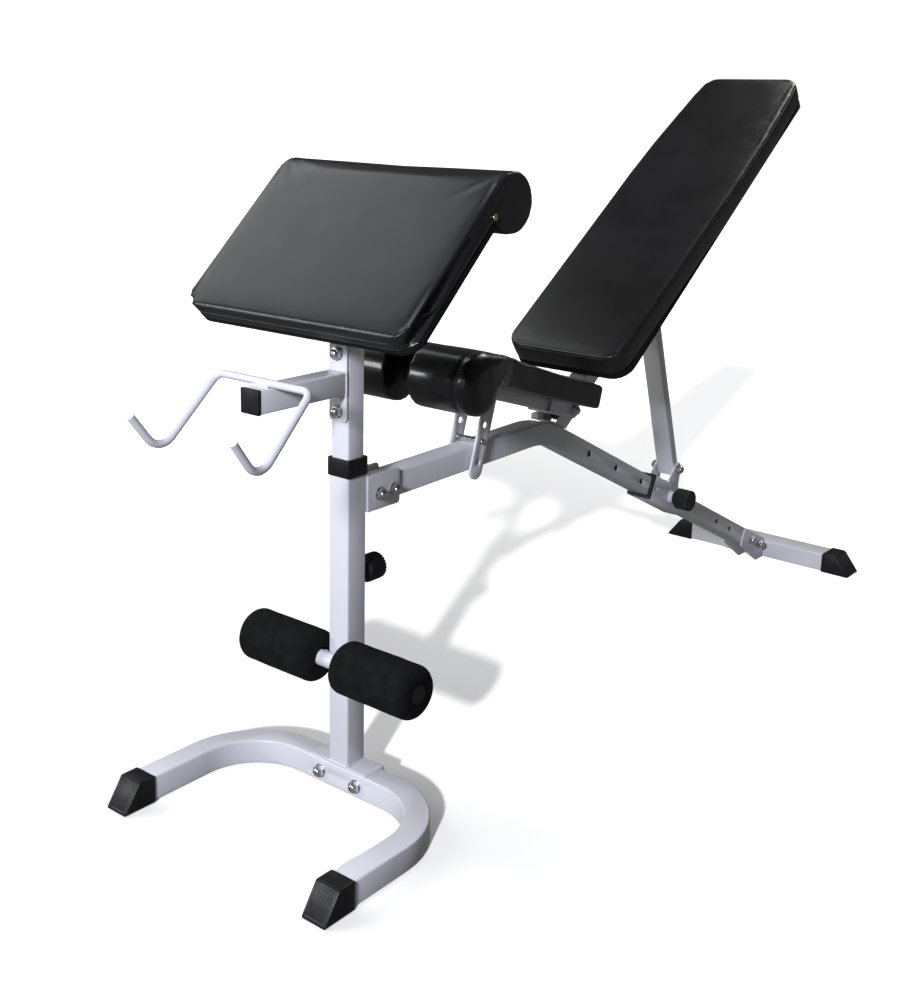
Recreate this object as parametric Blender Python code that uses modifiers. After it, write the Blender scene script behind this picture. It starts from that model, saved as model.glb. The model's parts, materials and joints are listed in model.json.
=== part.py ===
"""Adjustable weight bench: base and post, tilting seat, reclining backrest on a strut and sleeve,
height-adjustable preacher pad with barbell hooks, and foam rollers.

Metres, +Z up. X runs across the bench, -Y is the preacher pad end and +Y the backrest end.
Lengths along Y are given from the post's centre, through the empty "bench".
"""

import math

import bmesh
import bpy
from mathutils import Quaternion, Vector

# Square and rectangular tube stock: outer size and wall.
TUBE = 0.040
INNER = 0.035
BACK_TUBE = 0.035
WALL = 0.0015
CORNER = 0.003
GAP = 0.0003
SLIDE_GAP = 0.0007
PLATE = 0.003
THICK_PLATE = 0.004
PIVOT_HOLE = 0.0055
KNOB_PIN_RADIUS = 0.0045
KNOB_PIN_HOLE = 0.0052
EYE_RADIUS = 0.0155

# The post stands this far ahead of the middle of the bench's length.
POST_TO_MIDDLE = 0.5930

# Front base: a U of tube lying flat, open towards -Y, with a wedge cap on each leg.
LEG_X = 0.2096
LEG_END = -0.229
BASE_BEND = 0.120
CAP_SIZE = 0.045
CAP_TOP_LENGTH = 0.031
CAP_FOOT_LENGTH = 0.061
SADDLE_HALF = 0.058
BASE_BOLT_X = 0.038
BASE_BOLT_RADIUS = 0.0045
SADDLE_DROP = 0.016

# Post, its collar and its height knob.
POST_FOOT = CAP_SIZE / 2 + TUBE / 2 + GAP + THICK_PLATE
POST_TOP = 0.517
COLLAR_TOP = 0.545
COLLAR_SIZE = 0.044
HEIGHT_PIN_Z = 0.355
KNOB_RADIUS = 0.0215
KNOB_LENGTH = 0.041
BOSS_LENGTH = 0.0078

# Foam rollers on an axle welded across the post's front face.
ROLLER_Z = 0.2245
AXLE_RADIUS = 0.0125
AXLE_HALF = 0.1705
FOAM_RADIUS = 0.0420
FOAM_BORE = 0.0130
FOAM_START = 0.022
FOAM_END = 0.1695
FOAM_ROUND = 0.015
PLUG_DEPTH = 0.010
PLUG_HEAD = 0.0045
PLUG_RADIUS = 0.0155

# Telescoping post, the barbell arm and its hooks.
LIFT_FOOT = 0.150
LIFT_TOP = 0.790
ARM_Z = 0.6615
ARM_END = 0.1905
ARM_PLUG = 0.006
ARM_PLATE_HALF = 0.059
ARM_BOLT_OFFSET = 0.0435
ROD_RADIUS = 0.0057
HOOK_Y = 0.170
HOOK_HALF = 0.092

# Preacher pad: its top face rises at this angle from its lower edge, and rolls over at the top.
CURL_TILT = math.radians(43.9)
CURL_EDGE = Vector((0, -0.1312, 0.7655))
CURL_HALF = 0.2185
CURL_LENGTH = 0.284
CURL_FOAM = 0.0315
CURL_BOARD = 0.010
CURL_BOARD_SPAN = (0.003, 0.236)
CURL_ROLL = 0.045

# Main beam: level at the front, bent at its peak, then down to the rear foot.
BEAM_START = Vector((0, 0.0255, 0.4841))
BEAM_PEAK = Vector((0, 0.5004, 0.4925))
BEAM_BEND = 0.200
RAIL_DROP = math.radians(26.18)
RAIL_LENGTH = 1.040
RAIL_HOLES = (0.160, 0.272, 0.385, 0.514, 0.773, 0.850)
RAIL_HOLE_RADIUS = 0.0065
BRACKET_END = 0.0935
BRACKET_LOW = 0.456
BRACKET_HIGH = 0.5125
BRACKET_NUTS = (0.0464, 0.0788)
BRACKET_NUT_Z = 0.4808
EARS_FOOT = (0.018, 0.054)
STOP_SIZE = (0.016, 0.018, 0.011)
STOP_AT = (-0.011, 0.512, 0.5142)

# Rear foot, a tube lying on its wide side.
REAR_Y = 1.4765
REAR_TUBE = (TUBE, 0.058)
REAR_CAP_WIDTH = 0.063
REAR_HALF = 0.1705
REAR_CAP_FOOT = 0.0670
REAR_CAP_TOP = 0.0325
REAR_NUTS = (0.9720, 1.0235)

# Seat and backrest share one hinge, at this distance along the rail and above its centre line.
HINGE_ALONG = 0.0560
HINGE_ABOVE = 0.0576
SEAT_TILT = math.radians(16.8)
SEAT_TUBE = (INNER, 0.025)
SEAT_TUBE_SPAN = (-0.400, -0.036)
FORK_FRONT = -0.076
FORK_REAR = 0.0155
SEAT_HALF = 0.122
ADJUSTER_Y = -0.266
ADJUSTER_HALF = 0.016
ADJUSTER_INSIDE = 0.0240
ADJUSTER_FOOT = -0.150
ADJUSTER_HOLES = (-0.0575, -0.0855, -0.1205)
PIN_RADIUS = 0.005
SEAT_REAR = -0.072
SEAT_FRONT = -0.4105
SEAT_UNDER = 0.008
SEAT_TOP = 0.050
SEAT_BOARD = 0.009
SEAT_LIP = 0.0095
SEAT_ROLL = 0.046
SEAT_ROLL_Y = -0.4552
SEAT_ROLL_Z = -0.0076
SEAT_NOTCH = 0.022
SEAT_ROLL_END = 0.145

BACK_TILT = math.radians(35.17)
BACK_START = 0.045
BACK_END = 0.905
BACK_HALF_LOW = 0.127
BACK_HALF_HIGH = 0.109
BACK_FACE = 0.103
BACK_FOAM = 0.045
BACK_BOARD = 0.010
BACK_TUBE_SPAN = (-0.013, 0.680)
BACK_PLUG = 0.004
CROSS_LOW = 0.190
CROSS_HIGH = 0.600
CROSS_HALF = 0.080

# Sleeve on the rail and the strut that props the backrest.
SLEEVE_ALONG = 0.5137
SLEEVE_SIZE = 0.052
SLEEVE_WALL = 0.0025
SLEEVE_FRONT = -0.083
SLEEVE_REAR = 0.084
LINER_LENGTH = 0.008
EAR_ABOVE = 0.0603
STRUT_TILT = math.radians(18.93)
STRUT_SIZE = (0.040, 0.020)
STRUT_LENGTH = 0.375
STRUT_HEEL = 0.012
STRUT_HEAD = 0.004
CHANNEL_START = 0.300
CHANNEL_END = 0.452
CHANNEL_DEPTH = 0.050

PAINT = ("white_paint", (0.74, 0.74, 0.79), 0.35, 0.0)
VINYL = ("black_vinyl", (0.020, 0.020, 0.021), 0.38, 0.0)
FOAM = ("black_foam", (0.012, 0.012, 0.013), 0.85, 0.0)
PLASTIC = ("black_plastic", (0.018, 0.018, 0.020), 0.45, 0.0)
ZINC = ("zinc_steel", (0.62, 0.62, 0.64), 0.25, 1.0)
BOARD = ("black_board", (0.030, 0.029, 0.028), 0.70, 0.0)

# Turns an outline drawn in XY so that its X lies along Y and its Y along Z, facing +X.
SIDE_ON = (math.pi / 2, 0, math.pi / 2)
# Turns a shape built along Z so that it points along +X, +Y or -Y.
TO_RIGHT = (0, math.pi / 2, 0)
TO_REAR = (-math.pi / 2, 0, 0)
TO_FRONT = (math.pi / 2, 0, 0)
ROUND_STEPS = 24
HOLE_STEPS = 16

for old in list(bpy.data.objects):
    bpy.data.objects.remove(old, do_unlink=True)

parts = bpy.data.collections.new("adjustable_weight_bench")
cutters = bpy.data.collections.new("cutters")
bpy.context.scene.collection.children.link(parts)
bpy.context.scene.collection.children.link(cutters)


def material(spec):
    name, colour, roughness, metallic = spec
    found = bpy.data.materials.get(name)
    if found:
        return found
    made = bpy.data.materials.new(name)
    made.use_nodes = True
    shader = made.node_tree.nodes["Principled BSDF"]
    shader.inputs["Base Color"].default_value = (*colour, 1)
    shader.inputs["Roughness"].default_value = roughness
    shader.inputs["Metallic"].default_value = metallic
    made.diffuse_color = (*colour, 1)
    return made


def empty(name, location, rotation=(0, 0, 0), parent=None):
    made = bpy.data.objects.new(name, None)
    made.empty_display_size = 0.05
    parts.objects.link(made)
    made.parent = parent
    made.location = location
    made.rotation_euler = rotation
    return made


def add(name, data, spec, parent, location=(0, 0, 0), rotation=(0, 0, 0)):
    """A sub-part in the bench's collection, or a hidden cutter where spec is None."""
    made = bpy.data.objects.new(name, data)
    if spec:
        parts.objects.link(made)
        data.materials.append(material(spec))
    else:
        cutters.objects.link(made)
        made.hide_render = True
        made.display_type = "WIRE"
    made.parent = parent
    made.location = location
    made.rotation_euler = rotation
    return made


def mesh_from(bm, name):
    bmesh.ops.recalc_face_normals(bm, faces=bm.faces)
    mesh = bpy.data.meshes.new(name)
    bm.to_mesh(mesh)
    bm.free()
    return mesh


def bevel(obj, width, segments=2, angle=40):
    modifier = obj.modifiers.new("Bevel", "BEVEL")
    modifier.width = width
    modifier.segments = segments
    modifier.limit_method = "ANGLE"
    modifier.angle_limit = math.radians(angle)
    return obj


def cut(obj, *tools):
    for tool in tools:
        modifier = obj.modifiers.new("Cut", "BOOLEAN")
        modifier.object = tool
    return obj


def box(name, size, spec, parent, location=(0, 0, 0), rotation=(0, 0, 0)):
    bm = bmesh.new()
    bmesh.ops.create_cube(bm, size=1)
    bmesh.ops.scale(bm, vec=size, verts=bm.verts)
    return add(name, mesh_from(bm, name), spec, parent, location, rotation)


def pocket(parent, low, high):
    """A box cutter between two corners."""
    low, high = Vector(low), Vector(high)
    return box("pocket", high - low, None, parent, (low + high) / 2)


def drill(parent, location, radius, length=0.2, rotation=TO_RIGHT):
    """A round cutter centred on location, along X unless it is turned."""
    bm = bmesh.new()
    bmesh.ops.create_cone(bm, cap_ends=True, segments=HOLE_STEPS, radius1=radius, radius2=radius, depth=length)
    return add("drill", mesh_from(bm, "drill"), None, parent, location, rotation)


def rounded(corners, closed=True, steps=5):
    """Points along a path whose corners are (x, y[, z], radius), each turned into an arc."""
    spots = [Vector((*corner[:-1], 0)[:3]) for corner in corners]
    points = []
    for index, corner in enumerate(corners):
        at = spots[index]
        radius = corner[-1]
        if radius == 0 or (not closed and index in (0, len(corners) - 1)):
            points.append(at)
            continue
        back = (spots[index - 1] - at).normalized()
        ahead = (spots[(index + 1) % len(spots)] - at).normalized()
        half = back.angle(ahead) / 2
        centre = at + (back + ahead).normalized() * radius / math.sin(half)
        start = at + back * radius / math.tan(half) - centre
        axis = ahead.cross(back)
        turn = math.pi - 2 * half
        points += [centre + Quaternion(axis, turn * step / steps) @ start for step in range(steps + 1)]
    return points


def lug(front, rear, base, centre, radius, steps=10):
    """Outline of an ear: a straight foot at height base, and an eye around centre."""
    centre = Vector((*centre, 0))
    feet = (Vector((front, base, 0)), Vector((rear, base, 0)))
    angles = []
    for foot, side in zip(feet, (-1, 1)):
        away = foot - centre
        angles.append(math.atan2(away.y, away.x) % math.tau + side * math.acos(radius / away.length))
    start, end = angles[0], angles[1] - math.tau
    turns = [start + (end - start) * step / steps for step in range(steps + 1)]
    return [feet[0]] + [centre + radius * Vector((math.cos(a), math.sin(a), 0)) for a in turns] + [feet[1]]


def square(half):
    """Outline of a square tube's section, its corners rounded as the tube stock's are."""
    corners = [(-half, -half, CORNER), (half, -half, CORNER), (half, half, CORNER), (-half, half, CORNER)]
    return rounded(corners, steps=3)


def spline(curve, points, cyclic):
    line = curve.splines.new("POLY")
    line.points.add(len(points) - 1)
    for target, point in zip(line.points, points):
        target.co = (*point, 1)
    line.use_cyclic_u = cyclic
    return line


def flat(name, outline, thickness, spec, parent, location=(0, 0, 0), rotation=(0, 0, 0), holes=()):
    """An extruded outline, centred on its own XY plane. Each hole is (x, y, radius)."""
    curve = bpy.data.curves.new(name, "CURVE")
    curve.dimensions = "2D"
    curve.fill_mode = "BOTH"
    curve.extrude = thickness / 2
    spline(curve, outline, True)
    for x, y, radius in holes:
        angles = [2 * math.pi * step / HOLE_STEPS for step in range(HOLE_STEPS)]
        spline(curve, [Vector((x + radius * math.cos(a), y + radius * math.sin(a), 0)) for a in angles], True)
    return add(name, curve, spec, parent, location, rotation)


def square_ring(name, size, bore, depth, parent, location, rotation=(0, 0, 0)):
    """A moulded square collar around a square bore, centred on its own XY plane."""
    ring = flat(name, square(size / 2), depth, PLASTIC, parent, location, rotation)
    spline(ring.data, square(bore / 2), True)
    return meshed(ring)


def meshed(obj):
    """The same object as a welded mesh, so that modifiers can work on it."""
    bpy.context.view_layer.update()
    mesh = bpy.data.meshes.new_from_object(obj.evaluated_get(bpy.context.evaluated_depsgraph_get()))
    bm = bmesh.new()
    bm.from_mesh(mesh)
    bmesh.ops.remove_doubles(bm, verts=bm.verts, dist=1e-5)
    bmesh.ops.recalc_face_normals(bm, faces=bm.faces)
    bm.to_mesh(mesh)
    bm.free()
    name = obj.name
    made = bpy.data.objects.new(name, mesh)
    obj.users_collection[0].objects.link(made)
    made.parent = obj.parent
    made.location = obj.location
    made.rotation_euler = obj.rotation_euler
    bpy.data.objects.remove(obj, do_unlink=True)
    made.name = name
    return made


def bracket(name, outline, width, parent, location=(0, 0, 0), spec=PAINT):
    """A side-on outline as wide as the whole bracket. Pockets then leave its two ears and its web."""
    return meshed(flat(name, outline, width, spec, parent, location, SIDE_ON))


def square_tube(name, size, length, spec, parent, location=(0, 0, 0), rotation=(0, 0, 0), wall=WALL):
    """A straight open-ended tube of size (x, y), running up local Z from its origin."""
    bm = bmesh.new()
    bmesh.ops.create_cube(bm, size=1)
    bmesh.ops.scale(bm, vec=(*size, length), verts=bm.verts)
    bmesh.ops.translate(bm, vec=(0, 0, length / 2), verts=bm.verts)
    bmesh.ops.delete(bm, geom=[f for f in bm.faces if abs(f.normal.z) > 0.9], context="FACES_ONLY")
    long_edges = [e for e in bm.edges if abs(e.verts[0].co.z - e.verts[1].co.z) > length / 2]
    bmesh.ops.bevel(bm, geom=long_edges, offset=CORNER, segments=3, profile=0.5, affect="EDGES")
    made = add(name, mesh_from(bm, name), spec, parent, location, rotation)
    shell = made.modifiers.new("Wall", "SOLIDIFY")
    shell.thickness = wall
    return made


def bent_tube(name, path, spec, parent):
    """A bent square tube along a flat path, open at both ends."""
    section = bpy.data.curves.new(name + "_section", "CURVE")
    section.dimensions = "2D"
    spline(section, square(TUBE / 2), True)
    shape = add(name + "_section", section, None, None)
    curve = bpy.data.curves.new(name, "CURVE")
    curve.dimensions = "3D"
    curve.twist_mode = "Z_UP"
    curve.bevel_mode = "OBJECT"
    curve.bevel_object = shape
    spline(curve, path, False)
    made = meshed(add(name, curve, spec, parent))
    bpy.data.objects.remove(shape, do_unlink=True)
    shell = made.modifiers.new("Wall", "SOLIDIFY")
    shell.thickness = WALL
    return made


def turned(name, profile, spec, parent, location=(0, 0, 0), rotation=(0, 0, 0), steps=32):
    """A closed (radius, height) profile turned around Z. Its outer side runs down."""
    bm = bmesh.new()
    ring = [bm.verts.new((radius, 0, height)) for radius, height in profile]
    for index, vert in enumerate(ring):
        bm.edges.new((vert, ring[(index + 1) % len(ring)]))
    mesh = bpy.data.meshes.new(name)
    bm.to_mesh(mesh)
    bm.free()
    made = add(name, mesh, spec, parent, location, rotation)
    screw = made.modifiers.new("Turn", "SCREW")
    screw.steps = steps
    screw.render_steps = steps
    screw.use_merge_vertices = True
    screw.merge_threshold = 0.0001
    return made


def stacked(name, levels, spec, parent, location=(0, 0, 0), rotation=(0, 0, 0), points=ROUND_STEPS):
    """A solid lofted up Z through (height, radius, form) levels, where form is "round", "hex" or "ribbed"."""
    bm = bmesh.new()
    rings = []
    for height, radius, form in levels:
        ring = []
        for step in range(points):
            angle = 2 * math.pi * step / points
            reach = radius
            if form == "hex":
                reach = radius / math.cos((angle + math.pi / 6) % (math.pi / 3) - math.pi / 6)
            elif form == "ribbed" and step % 2:
                reach = radius * 0.93
            ring.append(bm.verts.new((reach * math.cos(angle), reach * math.sin(angle), height)))
        rings.append(ring)
    for lower, upper in zip(rings, rings[1:]):
        for step in range(points):
            after = (step + 1) % points
            bm.faces.new((lower[step], lower[after], upper[after], upper[step]))
    bm.faces.new(rings[0])
    bm.faces.new(rings[-1])
    return add(name, mesh_from(bm, name), spec, parent, location, rotation)


def dome_levels(start, across=0.0085, tall=0.007, washer=0.0105):
    """Levels of a washer, a hex nut and its dome, from the face that they stand on."""
    levels = [(start, washer, "round"), (start + 0.0016, washer, "round")]
    levels += [(start + 0.0017, across, "hex"), (start + 0.0016 + tall, across, "hex")]
    base = start + 0.0017 + tall
    dome = across * 0.88
    angles = [math.radians(a) for a in (0, 35, 70)]
    return levels + [(base + dome * 0.75 * math.sin(a), dome * math.cos(a), "round") for a in angles]


def nut(name, parent, location, rotation):
    return stacked(name, dome_levels(0), ZINC, parent, location, rotation)


def through_bolt(name, parent, location, half):
    """A pivot bolt along X, with a domed head and a domed nut outside the half width that it clamps."""
    shank = PIVOT_HOLE - 0.0005
    nut_side = [(half, shank, "round")] + dome_levels(half + 0.0001)
    head_side = [(-height, radius, form) for height, radius, form in reversed(nut_side)]
    return stacked(name, head_side + nut_side, ZINC, parent, location, TO_RIGHT)


def pull_knob(name, parent, location, rotation, reach):
    """A ribbed knob on a pin. Local Z runs outwards from the pin's tip, and reach is the pin's length."""
    pin = KNOB_PIN_RADIUS
    levels = [(0, pin - 0.001, "round"), (0.001, pin, "round"), (reach, pin, "round")]
    body = [(0, 0.55), (0.0005, 0.62), (0.006, 0.86), (0.010, 1.0), (KNOB_LENGTH - 0.004, 1.0), (KNOB_LENGTH, 0.84)]
    levels += [(reach + 0.0001 + height, KNOB_RADIUS * share, "ribbed") for height, share in body]
    return stacked(name, levels, PLASTIC, parent, location, rotation, points=36)


def boss(name, parent, location, rotation):
    """The welded nut that guides a knob's pin."""
    outer, inner, edge = 0.012, PIVOT_HOLE - 0.0004, 0.001
    profile = [(inner, 0), (inner, BOSS_LENGTH), (outer - edge, BOSS_LENGTH)]
    profile += [(outer, BOSS_LENGTH - edge), (outer, 0)]
    return turned(name, profile, PAINT, parent, location, rotation, steps=ROUND_STEPS)


def sides(name):
    return ((name + "_left", -1), (name + "_right", 1))


bench = empty("bench", (0, -POST_TO_MIDDLE, 0))
rail = empty("rail", BEAM_PEAK, (-RAIL_DROP, 0, 0), bench)


# Front base -------------------------------------------------------------------------------------
def front_base():
    height = CAP_SIZE / 2
    corners = [
        (-LEG_X, LEG_END + GAP, height, 0),
        (-LEG_X, 0, height, BASE_BEND),
        (LEG_X, 0, height, BASE_BEND),
        (LEG_X, LEG_END + GAP, height, 0),
    ]
    base = bent_tube("front_base", rounded(corners, closed=False, steps=12), PAINT, bench)
    for x in (-BASE_BOLT_X, BASE_BOLT_X):
        cut(base, drill(bench, (x, 0, height), BASE_BOLT_RADIUS, 2 * TUBE, TO_REAR))
    for name, side in sides("front_cap"):
        wedge = [
            (LEG_END, 0, 0),
            (LEG_END - CAP_FOOT_LENGTH, 0, 0),
            (LEG_END - CAP_TOP_LENGTH, CAP_SIZE, 0),
            (LEG_END, CAP_SIZE, 0),
        ]
        outline = rounded(wedge)
        cap = meshed(flat(name, outline, CAP_SIZE, PLASTIC, bench, (side * LEG_X, 0, 0), SIDE_ON))
        bevel(cap, 0.0025)
    for name, side in sides("base_nut"):
        nut(name, bench, (side * BASE_BOLT_X, -TUBE / 2 - GAP, height), TO_FRONT)
    low, top, back = height - SADDLE_DROP, POST_FOOT - GAP, TUBE / 2 + GAP
    profile = [
        (-TUBE / 2, top, 0.001),
        (back + THICK_PLATE, top, 0.003),
        (back + THICK_PLATE, low, 0),
        (back, low, 0),
        (back, top - THICK_PLATE, 0),
        (-TUBE / 2, top - THICK_PLATE, 0),
    ]
    flat("post_saddle", rounded(profile), 2 * SADDLE_HALF, PAINT, bench, rotation=SIDE_ON)


# Post -------------------------------------------------------------------------------------------
def post():
    tube = square_tube("outer_post", (TUBE, TUBE), POST_TOP - GAP - POST_FOOT, PAINT, bench, (0, 0, POST_FOOT))
    cut(tube, drill(bench, (0, TUBE / 2, HEIGHT_PIN_Z), KNOB_PIN_HOLE, 0.01, TO_REAR))
    middle = (0, 0, (POST_TOP + COLLAR_TOP) / 2)
    square_ring("post_collar", COLLAR_SIZE, INNER + 2 * SLIDE_GAP, COLLAR_TOP - POST_TOP, bench, middle)
    face = TUBE / 2 + GAP
    boss("height_boss", bench, (0, face, HEIGHT_PIN_Z), TO_REAR)
    tip = INNER / 2 + 0.0006
    reach = face + BOSS_LENGTH + GAP - tip
    slide = empty("height_knob_slide", (0, tip, HEIGHT_PIN_Z), TO_REAR, bench)
    pull_knob("height_knob", slide, (0, 0, 0), (0, 0, 0), reach)


def rollers():
    y = -TUBE / 2 - GAP - AXLE_RADIUS
    axle = empty("roller_axis", (0, y, ROLLER_Z), TO_RIGHT, bench)
    bore = AXLE_RADIUS - WALL
    ring = [(bore, -AXLE_HALF), (bore, AXLE_HALF), (AXLE_RADIUS, AXLE_HALF), (AXLE_RADIUS, -AXLE_HALF)]
    turned("roller_axle", ring, PAINT, axle, steps=ROUND_STEPS)
    half = (FOAM_END - FOAM_START) / 2
    turns = [math.radians(a) for a in (90, 60, 30, 0)]
    upper = [
        (FOAM_RADIUS - FOAM_ROUND * (1 - math.cos(a)), half - FOAM_ROUND * (1 - math.sin(a)))
        for a in turns
    ]
    lower = [(radius, -height) for radius, height in reversed(upper)]
    for name, side in sides("foam_roller"):
        profile = [(FOAM_BORE, -half), (FOAM_BORE, half)] + upper + lower
        turned(name, profile, FOAM, axle, (0, 0, side * (FOAM_START + FOAM_END) / 2))
    for name, side in sides("roller_plug"):
        spigot = bore - GAP
        levels = [(-PLUG_DEPTH, spigot, "round"), (GAP, spigot, "round")]
        levels += [(GAP + 0.0001, PLUG_RADIUS, "round"), (PLUG_HEAD - 0.0015, PLUG_RADIUS, "round")]
        levels += [(PLUG_HEAD, PLUG_RADIUS - 0.002, "round")]
        turn = (0, 0, 0) if side > 0 else (math.pi, 0, 0)
        stacked(name, levels, PLASTIC, axle, (0, 0, side * AXLE_HALF), turn)


# Main beam and rear foot ------------------------------------------------------------------------
def beam():
    down = Vector((0, math.cos(RAIL_DROP), -math.sin(RAIL_DROP)))
    corners = [(*BEAM_START, 0), (*BEAM_PEAK, BEAM_BEND), (*(BEAM_PEAK + down * RAIL_LENGTH), 0)]
    tube = bent_tube("main_beam", rounded(corners, closed=False, steps=10), PAINT, bench)
    cut(tube, *[drill(rail, (0, along, 0), RAIL_HOLE_RADIUS, 0.06) for along in RAIL_HOLES])

    face = TUBE / 2 + GAP
    half = TUBE / 2 + 0.0004 + PLATE
    outline = [
        (face, BRACKET_LOW, 0),
        (BRACKET_END, BRACKET_LOW, 0.006),
        (BRACKET_END, BRACKET_HIGH, 0.006),
        (face, BRACKET_HIGH, 0),
    ]
    holder = bracket("post_bracket", rounded(outline, steps=3), 2 * half, bench)
    inside = half - PLATE
    cut(holder, pocket(bench, (-inside, face + PLATE, 0.4), (inside, 0.2, 0.6)))
    for number, y in enumerate(BRACKET_NUTS, 1):
        nut(f"bracket_nut_{number}", bench, (half + GAP, y, BRACKET_NUT_Z), TO_RIGHT)

    outline = lug(*EARS_FOOT, TUBE / 2 + GAP, (HINGE_ALONG, HINGE_ABOVE), EYE_RADIUS)
    inside = BACK_TUBE / 2 + 0.0007
    ears = bracket("peak_bracket", outline, 2 * (inside + PLATE), rail)
    floor = TUBE / 2 + GAP + PLATE
    cut(ears, pocket(rail, (-inside, 0, floor), (inside, 0.2, 0.2)))
    cut(ears, drill(rail, (0, HINGE_ALONG, HINGE_ABOVE), PIVOT_HOLE))
    stop = box("seat_stop", STOP_SIZE, PAINT, bench, STOP_AT)
    bevel(stop, 0.001)


def rear_foot():
    height = CAP_SIZE / 2
    start = (-REAR_HALF + GAP, REAR_Y, height)
    square_tube("rear_foot", REAR_TUBE, 2 * (REAR_HALF - GAP), PAINT, bench, start, TO_RIGHT)
    for name, side in sides("rear_cap"):
        inner, low, high = REAR_HALF, REAR_HALF + REAR_CAP_FOOT, REAR_HALF + REAR_CAP_TOP
        outline = rounded([(inner, 0, 0), (low, 0, 0), (high, CAP_SIZE, 0), (inner, CAP_SIZE, 0)])
        turn = TO_FRONT if side > 0 else (math.pi / 2, 0, math.pi)
        cap = meshed(flat(name, outline, REAR_CAP_WIDTH, PLASTIC, bench, (0, REAR_Y, 0), turn))
        bevel(cap, 0.0025)

    face = REAR_Y - REAR_TUBE[1] / 2 - GAP
    half = TUBE / 2 + 0.0004 + PLATE
    outline = [
        (1.322, 0.062, 0.004),
        (1.339, 0.099, 0.004),
        (face, 0.0492, 0),
        (face, 0.0035, 0),
        (1.410, 0.0035, 0.004),
    ]
    holder = bracket("rear_bracket", rounded(outline, steps=3), 2 * half, bench)
    inside = half - PLATE
    cut(holder, pocket(bench, (-inside, 1.2, -0.1), (inside, face - PLATE, 0.2)))
    for number, along in enumerate(REAR_NUTS, 1):
        nut(f"rear_nut_{number}", rail, (half + GAP, along, 0), TO_RIGHT)


# Telescoping post, barbell arm and preacher pad ---------------------------------------------------
def lift():
    slide = empty("lift_slide", (0, 0, LIFT_FOOT), parent=bench)
    square_tube("inner_post", (INNER, INNER), LIFT_TOP - LIFT_FOOT, PAINT, slide)
    arm = empty("arm", (0, 0, ARM_Z - LIFT_FOOT), parent=slide)
    face = INNER / 2 + GAP
    half = INNER / 2
    corners = [
        (-half, -ARM_PLATE_HALF, 0.006),
        (half, -ARM_PLATE_HALF, 0.006),
        (half, ARM_PLATE_HALF, 0.006),
        (-half, ARM_PLATE_HALF, 0.006),
    ]
    plate_at = (0, -face - THICK_PLATE / 2, 0)
    flat("arm_plate", rounded(corners), THICK_PLATE, PAINT, arm, plate_at, TO_FRONT)
    front = face + THICK_PLATE + GAP
    square_tube("barbell_arm", (INNER, INNER), ARM_END - front, PAINT, arm, (0, -front, 0), TO_FRONT)
    plug_size = (INNER + 0.001, ARM_PLUG, INNER + 0.001)
    plug = box("arm_plug", plug_size, PLASTIC, arm, (0, -ARM_END - GAP - ARM_PLUG / 2, 0))
    bevel(plug, 0.0015)
    for name, offset in (("arm_bolt_upper", ARM_BOLT_OFFSET), ("arm_bolt_lower", -ARM_BOLT_OFFSET)):
        nut(name, arm, (0, -front, offset), TO_FRONT)

    top = INNER / 2 + GAP + ROD_RADIUS
    right = [
        (HOOK_HALF, -HOOK_Y, top, 0.014),
        (HOOK_HALF + 0.0065, -HOOK_Y - 0.1035, top - 0.0995, 0.026),
        (HOOK_HALF + 0.010, -HOOK_Y - 0.148, top - 0.040, 0),
    ]
    left = [(-x, y, z, radius) for x, y, z, radius in reversed(right)]
    rod = bpy.data.curves.new("hook_rod", "CURVE")
    rod.dimensions = "3D"
    rod.bevel_depth = ROD_RADIUS
    rod.bevel_resolution = 3
    rod.use_fill_caps = True
    spline(rod, rounded(left + right, closed=False, steps=8), False)
    add("hook_rod", rod, PAINT, arm)

    curl = empty("curl_pad_edge", CURL_EDGE - Vector((0, 0, LIFT_FOOT)), (CURL_TILT, 0, 0), slide)
    under = -CURL_FOAM - CURL_BOARD - GAP
    outline = [
        (0.045, under - GAP, 0),
        (0.215, under - GAP, 0),
        (0.215, under - 0.006, 0),
        (0.100, -0.130, 0.004),
        (0.0575, -0.100, 0.004),
        (0.045, under - 0.006, 0),
    ]
    inside = INNER / 2 + GAP
    gusset = bracket("curl_bracket", rounded(outline, steps=3), 2 * (inside + PLATE), curl)
    cut(gusset, pocket(curl, (-inside, -0.1, -0.2), (inside, 0.3, under - GAP - THICK_PLATE)))
    start, end = CURL_BOARD_SPAN
    size = (2 * CURL_HALF - 0.004, end - start, CURL_BOARD)
    box("curl_board", size, BOARD, curl, (0, (start + end) / 2, under + CURL_BOARD / 2))

    start = math.pi / 2
    end = -math.pi - math.asin((CURL_ROLL - CURL_FOAM) / CURL_ROLL)
    turns = [start + (end - start) * step / 20 for step in range(21)]
    roll = [(CURL_LENGTH + CURL_ROLL * math.cos(a), -CURL_ROLL + CURL_ROLL * math.sin(a), 0) for a in turns]
    outline = rounded([(0, -CURL_FOAM, 0.004), (0, 0, 0.012)] + roll)
    pad = meshed(flat("curl_pad", outline, 2 * CURL_HALF, VINYL, curl, rotation=SIDE_ON))
    bevel(pad, 0.004, 2, 60)


# Seat -------------------------------------------------------------------------------------------
hinge = Vector((0, HINGE_ALONG, HINGE_ABOVE))
hinge.rotate(rail.rotation_euler)
hinge += BEAM_PEAK


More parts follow.
